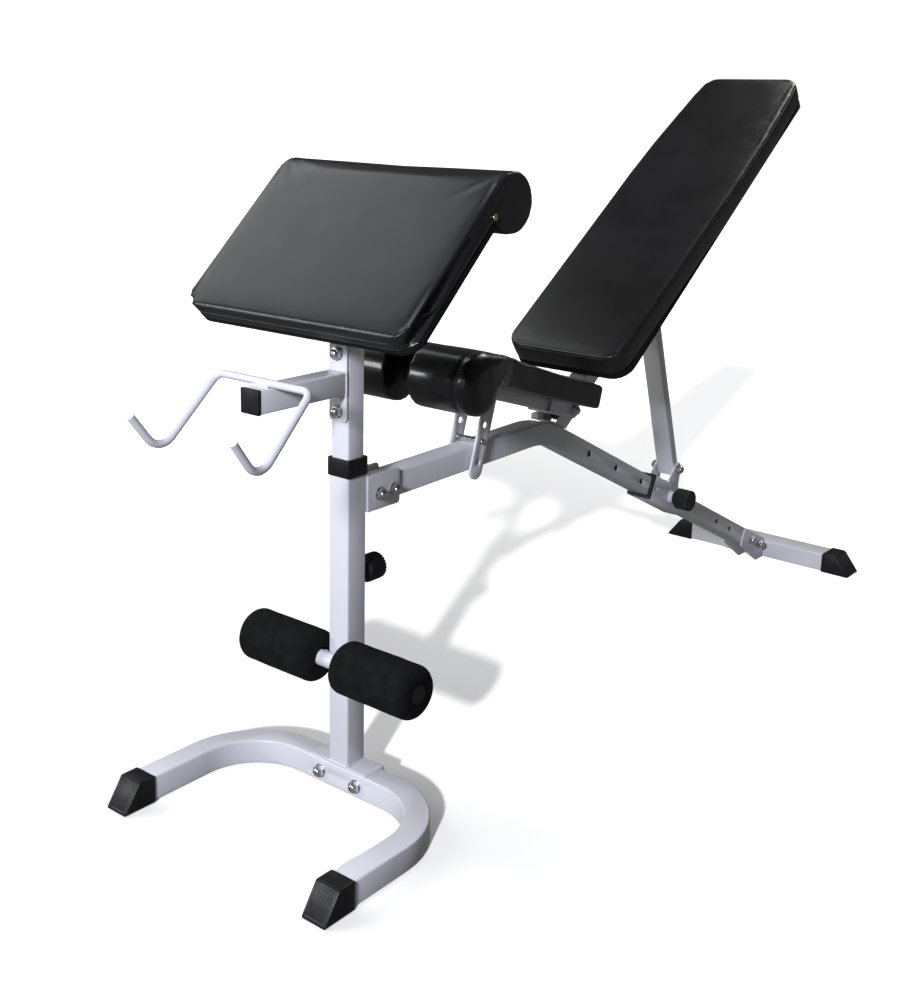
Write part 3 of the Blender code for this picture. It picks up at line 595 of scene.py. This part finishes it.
def nuts():
    """The nut that each bolt's CAD node stands for, and the head at its far end."""
    forward = ("base_nut_left", "base_nut_right", "arm_bolt_upper", "arm_bolt_lower")
    sideways = ("bracket_nut_1", "bracket_nut_2", "rear_nut_1", "rear_nut_2")
    for node in forward + sideways:
        direction = Vector((0, -1, 0) if node in forward else (1, 0, 0))
        at = face_middle(node, -direction)
        finished(hex_nut(node + ".fine", at, direction), BODY_OF[node], "zinc_steel", replaced=[node])
        if node in sideways:
            far = at - direction * 2 * at.x
            head = button_head(node + ".head", far, -direction)
            finished(head, BODY_OF[node], "zinc_steel")
    for node in ("pivot_bolt", "strut_bolt"):
        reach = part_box(node)[1].x - NUT_INSET
        for side, part in ((1, "nut"), (-1, "head")):
            at = middle(node) + Vector((side * reach, 0, 0))
            made = hex_nut(f"{node}.{part}", at, (side, 0, 0))
            finished(made, BODY_OF[node], "zinc_steel", replaced=[node] if side > 0 else ())


# Seams --------------------------------------------------------------------------------------------
def resampled(path, pitch, closed=False):
    """Evenly spaced points along a path."""
    points = [Vector(p) for p in path] + ([Vector(path[0])] if closed else [])
    lengths = [(b - a).length for a, b in zip(points, points[1:])]
    total = sum(lengths)
    count = max(2, round(total / pitch))
    spots, index, before = [], 0, 0.0
    for step in range(count if closed else count + 1):
        want = total * step / count
        while index < len(lengths) - 1 and before + lengths[index] < want:
            before += lengths[index]
            index += 1
        share = (want - before) / max(lengths[index], 1e-12)
        spots.append(points[index].lerp(points[index + 1], min(1, share)))
    return spots


def snapped(obj, path, lift=0.0):
    """Each point of a path moved to the nearest place on a cover, with the cover's normal there."""
    tree = BVHTree.FromPolygons([v.co for v in obj.data.vertices], [p.vertices for p in obj.data.polygons])
    found = [tree.find_nearest(p)[:2] for p in path]
    for _ in range(SEAM_CALMING):
        rows = list(zip(found[:-2], found[1:-1], found[2:]))
        inner = [((a + 2 * b + c) / 4, (m + 2 * n + o).normalized()) for (a, m), (b, n), (c, o) in rows]
        found = [found[0], *inner, found[-1]]
    return [(at + normal * lift, normal) for at, normal in found]


def press_seam(obj, paths, width, depth):
    """Pulls a cover in along each path, as thread does."""
    tree = KDTree(sum(len(path) for path in paths))
    for index, point in enumerate(point for path in paths for point in path):
        tree.insert(point, index)
    tree.balance()
    vertices = obj.data.vertices
    normals = [v.normal.copy() for v in vertices]
    for vert, normal in zip(vertices, normals):
        gap = tree.find(vert.co)[2]
        if gap < 3 * width:
            vert.co -= normal * depth * math.exp(-((gap / width) ** 2))


def cord_mesh(name, spots, radius, closed=False, steps=10, wander=0.0):
    """A round bead along (point, normal) pairs. wander makes its thickness vary along it."""
    bm = bmesh.new()
    rings = []
    count = len(spots)
    for index, (at, normal) in enumerate(spots):
        after = spots[(index + 1) % count][0] if closed or index < count - 1 else at
        before = spots[index - 1][0] if closed or index else at
        along = (after - before).normalized()
        side = along.cross(normal).normalized()
        up = side.cross(along).normalized()
        thick = radius * (1 + wander * math.sin(index * 1.9) * math.cos(index * 0.7))
        angles = [math.tau * step / steps for step in range(steps)]
        rings.append([bm.verts.new(at + thick * (side * math.cos(a) + up * math.sin(a))) for a in angles])
    loft(bm, rings, closed)
    return from_bmesh(name, bm)


def stitch_mesh(name, spots):
    """A row of short threads that lie on a cover, from (point, normal) pairs one pitch apart."""
    bm = bmesh.new()
    for (at, normal), (after, _) in zip(spots, spots[1:]):
        along = (after - at).normalized()
        side = along.cross(normal).normalized()
        rings = []
        for share, size in ((-0.5, 0.45), (-0.36, 0.95), (0, 1.1), (0.36, 0.95), (0.5, 0.45)):
            centre = at + along * STITCH_LENGTH * share
            centre += normal * STITCH_RADIUS * (0.7 - 2.0 * abs(share) ** 2)
            angles = [math.tau * step / 6 for step in range(6)]
            reach = STITCH_RADIUS * size
            points = [centre + reach * (side * math.cos(a) + normal * math.sin(a)) for a in angles]
            rings.append([bm.verts.new(point) for point in points])
        loft(bm, rings)
    return from_bmesh(name, bm)


# Cushions -----------------------------------------------------------------------------------------
def prism(outline, low, high, place, stations=2):
    """A closed solid whose outline of (a, b) runs from low to high; place turns (a, b, t) to a point."""
    bm = bmesh.new()
    rings = []
    for step in range(stations):
        t = low + (high - low) * step / (stations - 1)
        rings.append([bm.verts.new(place(a, b, t)) for a, b in outline])
    loft(bm, rings)
    return bm


def joined(name, solids):
    """Closed (solid, edge) pairs as one object, each with its sharp edges rounded."""
    parts = []
    for bm, edge in solids:
        part = from_bmesh(name, bm)
        soften(part, edge, 3, math.radians(50))
        parts.append(part)
    bm = bmesh.new()
    for part in parts:
        bm.from_mesh(part.data)
        bpy.data.objects.remove(part)
    return from_bmesh(name, bm)


def calmed(obj, rounds):
    calm = obj.modifiers.new("calm", "SMOOTH")
    calm.factor = 0.5
    calm.iterations = rounds
    return bake(obj)


def stuffed(obj, cap, held):
    """A pad's cover: the closed shape remeshed, drawn in a little, then swollen by inner pressure.

    held(x, y, z) is true where the cover rests on a board or is fixed by a seam.
    """
    shape = BVHTree.FromPolygons([v.co for v in obj.data.vertices], [p.vertices for p in obj.data.polygons])
    cover = obj.modifiers.new("cover", "REMESH")
    cover.mode = "VOXEL"
    cover.voxel_size = VOXEL
    bake(obj)
    calmed(obj, 2)
    for vert in obj.data.vertices:
        near, _, _, gap = shape.find_nearest(vert.co)
        if gap < GRIP:
            vert.co = near
    calmed(obj, 1)
    vertices = obj.data.vertices
    fixed = np.array([bool(held(*v.co)) for v in vertices])
    normals = np.array([v.normal for v in vertices])
    start = np.array([v.co for v in vertices]) - normals * DRAWN_IN * ~fixed[:, None]
    vertices.foreach_set("co", start.ravel())
    obj.data.update()
    group = obj.vertex_groups.new(name="held")
    group.add([int(i) for i in np.flatnonzero(fixed)], 1.0, "REPLACE")
    cloth = obj.modifiers.new("cloth", "CLOTH")
    cloth.settings.vertex_group_mass = group.name
    cloth.settings.use_pressure = True
    cloth.settings.uniform_pressure_force = PRESSURE
    cloth.settings.effector_weights.gravity = 0
    cloth.settings.quality = 4
    cloth.collision_settings.use_collision = False
    cloth.point_cache.frame_end = CLOTH_FRAMES
    for step in range(1, CLOTH_FRAMES + 1):
        SCENE.frame_set(step)
    swollen = np.array([v.co for v in evaluated_mesh(obj).vertices])
    obj.modifiers.clear()
    SCENE.frame_set(1)
    move = swollen - start
    size = np.linalg.norm(move, axis=1, keepdims=True)
    move *= cap * np.tanh(size / cap) / np.maximum(size, 1e-9)
    obj.data.vertices.foreach_set("co", (start + move).ravel())
    finer = obj.modifiers.new("finer", "SUBSURF")
    finer.levels = 1
    bake(obj)
    obj.data.polygons.foreach_set("use_smooth", [True] * len(obj.data.polygons))
    obj.data.update()
    return obj


def tack(name, at, direction, body):
    finished(button_head(name, at, direction, 0.0048, 0.0022), body, "zinc_steel", "brass")


def seam_set(name, cover, matrix, body, welts=(), rows=()):
    """Welts and stitch rows of a cover, given as (path, closed) in its own frame."""
    for number, (path, closed) in enumerate(welts, 1):
        spots = snapped(cover, resampled(path, WELT_PITCH, closed), -0.0002)
        made = cord_mesh(f"{name}_welt_{number}", spots, WELT_RADIUS, closed)
        made.data.transform(matrix)
        finished(smooth(made), body, "black_vinyl")
    for number, (path, closed) in enumerate(rows, 1):
        spots = snapped(cover, resampled(path, STITCH_PITCH, closed))
        made = stitch_mesh(f"{name}_stitches_{number}", spots)
        made.data.transform(matrix)
        finished(smooth(made), body, "black_vinyl", "thread")


def curl_cushion():
    """The preacher pad's cover, with the roll over its top, a welt round it and one round each end."""
    matrix = local_frame("curl_board", CURL_BOARD_LOW)
    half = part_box("curl_pad")[1].x
    foam, roll, length = CURL_FOAM, CURL_ROLL, CURL_LENGTH
    lower = arc((0.004, -foam + 0.004), 0.004, 270, 180, 3) + arc((0.012, -0.012), 0.012, 180, 90, 6)
    end = -180 - math.degrees(math.asin((roll - foam) / roll))
    corner = [0.013 + (CURL_CORNER - 0.011) * step / 8 for step in range(9)]
    outline = [(y, -foam) for y in reversed(corner)] + lower + [(y, 0.0) for y in corner]
    outline += arc((length, -roll), roll, 90, end, 40)

    def reach_at(y):
        near = min(CURL_CORNER, max(0.0, CURL_CORNER - y))
        return half - CURL_CORNER + math.sqrt(CURL_CORNER**2 - near**2)

    def place(y, z, x):
        return Vector((x * reach_at(y) / half, y, z))

    def held(x, y, z):
        return (z < -foam + 0.004 and 0 < y < length - 0.03) or abs(x) > reach_at(y) - 0.010 or y < 0.008

    pad = joined("curl_cushion", [(prism(outline, -half, half, place, 60), CURL_EDGE)])
    stuffed(pad, SWELL["curl"], held)
    side = half + 0.002
    band = CURL_BAND
    around = [(side, length - 0.02, -band), (side, CURL_CORNER, -band)]
    turn = arc((half - CURL_CORNER, CURL_CORNER), CURL_CORNER + 0.002, 0, -90, 8)
    around += [(x, y, -band) for x, y in turn]
    around += [(-x, y, z) for x, y, z in reversed(around)]
    rolls = []
    for sign in (-1, 1):
        ring = arc((length, -roll), roll + 0.001, 92, -200, 50)
        rolls.append([(sign * (half - 0.004), y, z) for y, z in ring])
    dense = [resampled(path, SEAM_PITCH) for path in (around, *rolls)]
    press_seam(pad, dense, SEAM_WIDTH, CURL_PRESS)
    seam_set("curl", pad, matrix, "lift", [(path, False) for path in (around, *rolls)])
    pad.data.transform(matrix)
    finished(pad, "lift", "black_vinyl", replaced=["curl_pad"])
    for sign in (-1, 1):
        at = matrix @ Vector((sign * (half + 0.001), length - 0.047, -0.024))
        tack("curl_tack_" + side_name(sign), at, (sign, 0, 0), "lift")


def curl_board():
    """The preacher pad's board, its two lower corners rounded as the pad's are."""
    matrix = local_frame("curl_board", CURL_BOARD_LOW)
    size = slant("curl_board")[1]
    half, low, high = size.x / 2, CURL_BOARD_LOW[0], CURL_BOARD_LOW[0] + size.y
    right = arc((half - CURL_CORNER, low + CURL_CORNER), CURL_CORNER, -90, 0, 8) + [(half, high)]
    outline = right + [(-x, y) for x, y in reversed(right)]
    base = CURL_BOARD_LOW[1]
    board = prism(outline, base, base + size.z, lambda x, y, z: Vector((x, y, z)))
    made = from_bmesh("curl_board.fine", board, matrix)
    soften(made, 0.0015)
    finished(smooth(made), "lift", "black_board", replaced=["curl_board"])


def seat_cushion():
    """The seat's cover: a slab that flares and rises into two rolls over the tube's front end."""
    matrix = local_frame("seat_tube", SEAT_TUBE_LOW)
    side, wide = SEAT_HALF, SEAT_ROLL_END
    top, under, front, rear = SEAT_TOP, SEAT_UNDER, SEAT_FRONT, SEAT_REAR
    centre, radius = SEAT_ROLL_AT, SEAT_ROLL

    def around(first, last, steps, grow=0.0):
        unit = arc((0, 0), 1, first, last, steps)
        return [(centre[0] + (radius[0] + grow) * a, centre[1] + (radius[1] + grow) * b) for a, b in unit]

    def top_at(y):
        share = min(1, max(0, (y - SEAT_RISE[0]) / (SEAT_RISE[1] - SEAT_RISE[0])))
        return SEAT_CREST + (top - SEAT_CREST) * share * share * (3 - 2 * share)

    def half_at(y):
        share = min(1, max(0, (SEAT_FLARE[0] - y) / (SEAT_FLARE[0] - SEAT_FLARE[1])))
        return side + (wide - side) * share * share * (3 - 2 * share)

    def flank(y):
        return side + (half_at(y) - side) * SEAT_FLANK

    def pad_place(y, z, x):
        return Vector((x * flank(y) / side, y, z))

    def roll_place(sign):
        def place(y, z, t):
            reach = half_at(y)
            x = SEAT_NOTCH + t * (reach - SEAT_NOTCH)
            near = min(SEAT_ROUND, max(0.0, SEAT_ROUND - (reach - x)))
            inward = Vector((centre[0] - y, centre[1] - z)).normalized()
            inward *= SEAT_ROUND - math.sqrt(SEAT_ROUND**2 - near**2)
            return Vector((sign * x, y + inward.x, z + inward.y))

        return place

    ys = [rear + (front + 0.004 - rear) * step / 24 for step in range(25)]
    slab = [(y, top_at(y)) for y in reversed(ys)] + [(y, under) for y in ys]
    behind = front + 0.05
    lobe = [(behind, under + 0.002), (behind, top_at(behind)), (front, SEAT_CREST - 0.0004)]
    lobe += around(84, 366, 44)
    solids = [(prism(slab, -side, side, pad_place, 24), 0.005)]
    solids += [(prism(lobe, 0.0, 1.0, roll_place(sign), 40), 0.003) for sign in (-1, 1)]

    def held(x, y, z):
        return (z < under + 0.004 and y > front) or abs(x) > flank(y) - 0.007 or y > rear - 0.007

    pad = joined("seat_cushion", solids)
    stuffed(pad, SWELL["seat"], held)
    seams = []
    for sign in (-1, 1):
        x = sign * (wide - SEAT_SEAM_IN)
        ring = [(x, y, z) for y, z in around(350, 80, 60, 0.001)]
        top_line = [(sign * (half_at(y) - SEAT_SEAM_IN), y, top_at(y) + 0.002) for y in reversed(ys[:-2])]
        seams.append(ring + top_line + [(sign * (side - SEAT_SEAM_IN), rear - 0.002, under + 0.006)])
    press_seam(pad, [resampled(path, SEAM_PITCH) for path in seams], SEAM_WIDTH, SEAT_PRESS)
    seam_set("seat", pad, matrix, "seat", rows=[(path, False) for path in seams])
    pad.data.transform(matrix)
    # The cover takes the darker seat vinyl, whose colour carries painted shade.
    finished(pad, "seat", "black_vinyl", "seat_vinyl", ["seat_pad", "seat_roll_left", "seat_roll_right"])
    for sign in (-1, 1):
        y = front + 0.012
        at = matrix @ Vector((sign * (flank(y) + 0.0015), y, under + 0.006))
        tack("seat_tack_" + side_name(sign), at, (sign, 0, 0), "seat")


def back_cushion():
    """The backrest's cover, with a welt round its face and a seam drawn in round its foot."""
    matrix = local_frame("back_tube", BACK_TUBE_LOW)
    start, end = BACK_SPAN
    face, base = BACK_FACE, BACK_FACE - BACK_FOAM
    along, halves = zip(*BACK_WIDTHS)

    def outline(inset=0.0):
        first, last = BACK_CORNER
        right = arc((halves[0] - first, start + first), first - inset, -90, 0, 8)
        spans = np.linspace(start + first, end - last, 24)[1:-1]
        right += [(float(np.interp(y, along, halves)) - inset, float(y)) for y in spans]
        right += arc((halves[-1] - last, end - last), last - inset, 0, 90, 8)
        return right + [(-x, y) for x, y in reversed(right)]

    def held(x, y, z):
        half = np.interp(y, along, halves)
        return z < base + 0.006 or abs(x) > half - 0.010 or not start + 0.010 < y < end - 0.010

    slab = prism(outline(), base, face, lambda x, y, z: Vector((x, y, z)), 8)
    pad = joined("back_cushion", [(slab, 0.006)])
    stuffed(pad, SWELL["back"], held)
    edge = [(x, y, face - 0.006) for x, y in outline(-0.003)]
    foot = [(x, y, base + 0.007) for x, y in outline(-0.003)]
    press_seam(pad, [resampled(path, SEAM_PITCH, True) for path in (edge, foot)], *BACK_SEAM)
    seam_set("back", pad, matrix, "backrest", [(edge, True)])
    pad.data.transform(matrix)
    finished(pad, "backrest", "black_vinyl", replaced=["back_pad"])


def foam_rollers():
    """Foam tubes with rounded ends, a stepped mouth round the plug and a slightly uneven skin."""
    for side in ("left", "right"):
        node = "foam_roller_" + side
        low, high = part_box(node)
        centre = (low + high) / 2
        radius, half = (high.z - low.z) / 2, (high.x - low.x) / 2
        bore = ROLLER_BORE
        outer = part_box("roller_plug_" + side)
        half += (max(abs(outer[0].x), abs(outer[1].x)) - max(abs(low.x), abs(high.x))) / 2 - 0.0003
        centre.x += math.copysign(half - (high.x - low.x) / 2, centre.x)
        edge = arc((radius - FOAM_ROUND, half - FOAM_ROUND), FOAM_ROUND, 90, 0, 8)
        mouth = [(bore, half - 0.006), (bore + 0.003, half - 0.0045), (bore + 0.004, half)]
        profile = [(bore, -half + 0.006)] + mouth + edge
        rows = [half - FOAM_ROUND - (2 * half - 2 * FOAM_ROUND) * step / 20 for step in range(1, 20)]
        profile += [(radius, row) for row in rows]
        profile += [(reach, -height) for reach, height in reversed(edge)]
        profile += [(bore + 0.004, -half), (bore + 0.003, -half + 0.0045)]
        profile.append(profile[0])
        made = turned(node + ".fine", profile, pointing(centre, (1, 0, 0)), 96)
        made.data.update()
        for vert in made.data.vertices:
            reach = (vert.co - centre).yz.length
            if reach > bore + 0.004:
                dent = sum(noise.noise(vert.co * scale) * depth for scale, depth in FOAM_DENTS)
                vert.co += vert.normal * (dent - FOAM_INSET)
        finished(smooth(made), BODY_OF[node], "black_foam", replaced=[node])


# Moulded parts ------------------------------------------------------------------------------------
def bar_mesh(name, matrix, rows, edge=0.0004):
    """Small bars given as (x0, x1, y0, y1, z0, z1) in a frame."""
    bm = bmesh.new()
    for x0, x1, y0, y1, z0, z1 in rows:
        made = bmesh.ops.create_cube(bm, size=1)["verts"]
        for vert in made:
            share = vert.co + Vector((0.5, 0.5, 0.5))
            vert.co = Vector((x0 + share.x * (x1 - x0), y0 + share.y * (y1 - y0), z0 + share.z * (z1 - z0)))
    made = from_bmesh(name, bm, matrix)
    soften(made, edge, 2)
    return smooth(made)


def end_caps():
    """A raised border and upright ribs on the sloping face of each foot cap."""
    for node, outward, run in (
        ("front_cap_left", (0, -1, 0), FRONT_CAP_RUN),
        ("front_cap_right", (0, -1, 0), FRONT_CAP_RUN),
        ("rear_cap_left", (-1, 0, 0), REAR_CAP_RUN),
        ("rear_cap_right", (1, 0, 0), REAR_CAP_RUN),
    ):
        refined(node, PLASTIC_EDGE)
        low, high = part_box(node)
        outward = Vector(outward)
        across = Vector((0, 0, 1)).cross(outward)
        tall = high.z - low.z
        slope = (-outward * run + Vector((0, 0, tall))).normalized()
        normal = across.cross(slope)
        size = high - low
        wide = abs(size.dot(across)) / 2
        reach = math.hypot(run, tall)
        at = face_middle(node, outward)
        at.z = low.z
        matrix = Matrix((across, slope, normal)).transposed().to_4x4()
        matrix.translation = at
        edge, deep, bar = CAP_MARGIN, -CAP_SINK, CAP_BORDER
        first, last = 0.0040, reach - 0.0030
        rows = [
            (-wide + edge, wide - edge, first, first + bar, deep, bar * 0.6),
            (-wide + edge, wide - edge, last - bar, last, deep, bar * 0.6),
            (-wide + edge, -wide + edge + bar, first, last, deep, bar * 0.6),
            (wide - edge - bar, wide - edge, first, last, deep, bar * 0.6),
        ]
        inner = wide - edge - bar
        count = round(2 * inner / CAP_RIB_PITCH)
        for index in range(count):
            x = -inner + 2 * inner * (index + 0.5) / count
            rib = CAP_RIB_PITCH * 0.2
            rows.append((x - rib, x + rib, first + bar, last - bar, deep, bar * 0.5))
        # The border and ribs take the lighter plastic: a painted highlight along them.
        finished(bar_mesh(node + ".ribs", matrix, rows), BODY_OF[node], "black_plastic", "painted_highlight_plastic")


def knobs():
    """Fluted pull knobs on their pins."""
    for node, direction in (("height_knob", (0, 1, 0)), ("sleeve_knob", (1, 0, 0))):
        direction = Vector(direction)
        at = face_middle(node, -direction)
        end = (face_middle(node, direction) - at).length
        reach = end - KNOB_LENGTH
        radius = KNOB_RADIUS
        profile = [(KNOB_PIN - 0.001, 0), (KNOB_PIN, 0.001), (KNOB_PIN, reach)]
        profile += [(radius * share, reach + height) for share, height in KNOB_SHOULDER]
        profile += [(radius * share, end - drop) for share, drop in KNOB_END]
        span = (reach + KNOB_FLUTES_FROM, end - KNOB_FLUTES_TO)
        place = pointing(at, direction)
        made = turned(node + ".fine", profile, place, 216, KNOB_FLUTES, KNOB_FLUTE_DEPTH, span)
        finished(smooth(made, math.radians(50)), BODY_OF[node], "black_plastic", replaced=[node])


# Welds --------------------------------------------------------------------------------------------
def weld(name, path, normal, body, radius=0.0016, closed=False):
    """A bead of weld along a path, with the ripple that a welder leaves."""
    spots = [(p, Vector(normal)) for p in resampled(path, WELD_PITCH, closed)]
    made = cord_mesh(name, spots, radius, closed, 8, WELD_RIPPLE)
    finished(smooth(made, math.radians(80)), body, "white_paint")


def straight_weld(name, matrix, ends, normal, body):
    """A bead between two points of a slanted frame."""
    weld(name, [matrix @ Vector(end) for end in ends], matrix.to_3x3() @ Vector(normal), body)


def welds():
    """Beads where plates, tubes and bosses were joined."""
    for node, normal_axis in (("height_boss", 1), ("sleeve_boss", 0)):
        low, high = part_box(node)
        centre = (low + high) / 2
        centre[normal_axis] = low[normal_axis] + 0.0004
        radius = (high.z - low.z) / 2 + 0.0006
        normal = Vector([1.0 if axis == normal_axis else 0.0 for axis in range(3)])
        place = pointing(centre, normal)
        path = [place @ Vector((x, y, 0)) for x, y in arc((0, 0), radius, 0, 345, 24)]
        weld(node + ".weld", path, normal, BODY_OF[node], 0.0014, True)

    low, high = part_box("outer_post")
    half = high.x
    foot = low.z + 0.0006
    middle_y = (low.y + high.y) / 2
    for number, (sx, sy) in enumerate(((1, 0), (-1, 0), (0, -1)), 1):
        across = Vector((-sy, sx, 0)) * (half - 0.001)
        centre = Vector((sx * half, middle_y + sy * half, foot))
        weld(f"post_weld_{number}", [centre - across, centre + across], (sx, sy, 1), "frame")

    arm_low, arm_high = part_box("barbell_arm")
    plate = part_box("arm_plate")[0].y
    left, right = arm_low.x, arm_high.x
    corners = [(left, arm_low.z), (right, arm_low.z), (right, arm_high.z), (left, arm_high.z)]
    path = [(x, plate - 0.0004, z) for x, z in corners]
    weld("arm_weld", path, (0, -1, 0), "lift", 0.0015, True)
    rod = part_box("hook_rod")[1].z - HOOK_BAR_THICK
    for side in (-1, 1):
        y = HOOK_BAR_Y + side * 0.0052
        line = [(-arm_high.x * 0.9, y, rod + 0.0012), (arm_high.x * 0.9, y, rod + 0.0012)]
        weld(f"hook_weld_{'front' if side < 0 else 'rear'}", line, (0, side, 1), "lift", 0.0015)

    for node in ("back_cross_low", "back_cross_high"):
        matrix, size = slant("back_tube", node)
        for side, y, facing in (("low", -0.0002, -1), ("high", size.y + 0.0002, 1)):
            ends = ((-0.0165, y, 0.0008), (0.0165, y, 0.0008))
            straight_weld(f"{node}.weld_{side}", matrix, ends, (0, facing, 1), "backrest")
    matrix, size = slant("back_tube", "strut_channel")
    for side in (-1, 1):
        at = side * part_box("back_tube")[1].x
        ends = [(at, y, size.z + 0.0004) for y in (0.008, size.y - 0.008)]
        straight_weld("channel_weld_" + side_name(side), matrix, ends, (side, 0, -1), "backrest")
    matrix, size = slant("sleeve", "sleeve_ears")
    for side in (-1, 1):
        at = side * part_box("sleeve_ears")[1].x
        ends = [(at, y, 0.0008) for y in (0.001, size.y - 0.001)]
        straight_weld("ear_weld_" + side_name(side), matrix, ends, (side, 0, 1), "sleeve")
    low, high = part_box("roller_axle")
    centre = middle("roller_axle")
    for side in (-1, 1):
        x = side * half * 0.98
        ring = arc((centre.y, centre.z), (high.z - low.z) / 2, -60, 60, 12)
        loop = [Vector((x, y, z)) for y, z in ring]
        weld("axle_weld_" + side_name(side), loop, (side, 0, 0), "frame", 0.0013)


def small_parts():
    """The bolts' far ends."""
    for node in ("arm_bolt_lower", "arm_bolt_upper"):
        at = Vector((0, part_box("inner_post")[1].y, middle(node).z))
        finished(hex_nut(node + ".nut", at, (0, 1, 0), 0.013, 0.006, 0.008), "lift", "zinc_steel")
    matrix, size = slant("back_tube", "strut_channel")
    for side in (-1, 1):
        at = matrix @ Vector((side * size.x / 2, size.y * 0.5, size.z * 0.45))
        made = hex_nut("strut_top_" + ("head" if side < 0 else "nut"), at, (side, 0, 0))
        finished(made, "backrest", "zinc_steel")
    for side in ("left", "right"):
        nut = middle("base_nut_" + side)
        at = Vector((nut.x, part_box("front_base")[1].y, nut.z))
        finished(button_head("base_bolt_" + side, at, (0, 1, 0)), "frame", "zinc_steel")


# Light, floor and camera --------------------------------------------------------------------------
def area_light(name, at, size, energy, colour):
    """A round soft light that faces the bench."""
    data = bpy.data.lights.new(name, "AREA")
    data.shape = "DISK"
    data.size = size
    data.energy = energy
    data.color = colour
    made = new_object(name, data)
    made.location = at
    made.rotation_euler = (Vector(LIGHT_AIM) - Vector(at)).to_track_quat("-Z", "Y").to_euler()
    return made


def emptied(owner):
    """The node tree of a world or a material, with nothing in it."""
    owner.use_nodes = True
    owner.node_tree.nodes.clear()
    return owner.node_tree


def plain_shader(tree, kind, colour, strength=None):
    made = tree.nodes.new(kind)
    made.inputs["Color"].default_value = (*colour, 1)
    if strength is not None:
        made.inputs["Strength"].default_value = strength
    return made


def shown(tree, other_rays, camera_rays, output_kind):
    """Sends one shader to camera rays and another to every other ray."""
    seen = tree.nodes.new("ShaderNodeLightPath")
    mixed = tree.nodes.new("ShaderNodeMixShader")
    output = tree.nodes.new(output_kind)
    tree.links.new(seen.outputs["Is Camera Ray"], mixed.inputs[0])
    tree.links.new(other_rays.outputs[0], mixed.inputs[1])
    tree.links.new(camera_rays.outputs[0], mixed.inputs[2])
    tree.links.new(mixed.outputs[0], output.inputs["Surface"])


def studio_world():
    world = bpy.data.worlds.new("studio")
    SCENE.world = world
    tree = emptied(world)
    white = plain_shader(tree, "ShaderNodeBackground", (1, 1, 1), WORLD_WHITE)
    fill = plain_shader(tree, "ShaderNodeBackground", (0.95, 0.96, 1.0), WORLD_FILL)
    shown(tree, fill, white, "ShaderNodeOutputWorld")


def studio_floor():
    """A plain floor, whose glow for the camera grows towards the rear, where its shadows fade."""
    bm = bmesh.new()
    bmesh.ops.create_grid(bm, x_segments=1, y_segments=1, size=FLOOR_HALF)
    floor = from_bmesh("floor", bm)
    floor.location.z = FLOOR_LEVEL
    look = bpy.data.materials.new("floor")
    tree = emptied(look)
    bounce = plain_shader(tree, "ShaderNodeBsdfDiffuse", [FLOOR_BOUNCE] * 3)
    bright = plain_shader(tree, "ShaderNodeBsdfDiffuse", [FLOOR_GAIN] * 3)
    place = tree.nodes.new("ShaderNodeTexCoord")
    apart = tree.nodes.new("ShaderNodeSeparateXYZ")
    fade = tree.nodes.new("ShaderNodeMapRange")
    fade.inputs["From Min"].default_value, fade.inputs["From Max"].default_value = FLOOR_FADE[:2]
    fade.inputs["To Max"].default_value = FLOOR_FADE[2]
    glow = tree.nodes.new("ShaderNodeEmission")
    both = tree.nodes.new("ShaderNodeAddShader")
    tree.links.new(place.outputs["Object"], apart.inputs[0])
    tree.links.new(apart.outputs["Y"], fade.inputs["Value"])
    tree.links.new(fade.outputs["Result"], glow.inputs["Strength"])
    tree.links.new(bright.outputs[0], both.inputs[0])
    tree.links.new(glow.outputs[0], both.inputs[1])
    shown(tree, bounce, both, "ShaderNodeOutputMaterial")
    floor.data.materials.append(look)
    return floor


def studio_lights(floor):
    """Soft lights that leave the floor out, and suns that light nothing but the floor."""
    off_floor = bpy.data.collections.new("off_floor")
    off_floor.objects.link(floor)
    off_floor.collection_objects[0].light_linking.link_state = "EXCLUDE"
    for row in LIGHTS:
        area_light(*row).light_linking.receiver_collection = off_floor
    only_floor = bpy.data.collections.new("only_floor")
    only_floor.objects.link(floor)
    for name, source, energy, angle in FLOOR_SUNS:
        sun = bpy.data.lights.new(name, "SUN")
        sun.energy = energy
        sun.angle = angle
        shade = new_object(name, sun)
        shade.rotation_euler = Vector(source).to_track_quat("Z", "Y").to_euler()
        shade.light_linking.receiver_collection = only_floor


def camera():
    """The photograph's view, and colours shown as they are."""
    post = middle("outer_post")
    data = bpy.data.cameras.new("camera")
    data.sensor_width = 36
    data.lens = CAMERA_LENS
    data.shift_x, data.shift_y = CAMERA_SHIFT
    made = new_object("camera", data)
    made.location = (CAMERA_FROM_POST.x, post.y + CAMERA_FROM_POST.y, CAMERA_FROM_POST.z)
    made.rotation_euler = [math.radians(a) for a in CAMERA_TURN]
    SCENE.camera = made
    SCENE.view_settings.view_transform = "Standard"
    SCENE.view_settings.look = "None"


# Putting it together ------------------------------------------------------------------------------
curl_cushion()
curl_board()
seat_cushion()
back_cushion()
foam_rollers()
end_caps()
knobs()
nuts()
welds()
small_parts()

replaced = {n for o in bpy.data.objects for n in o.get("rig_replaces", [])}
for node in sorted(set(BODY_OF) - replaced):
    edge = 0 if node in ROUND_NODES else METAL_EDGE
    refined(node, edge)
studio_world()
studio_lights(studio_floor())
camera()
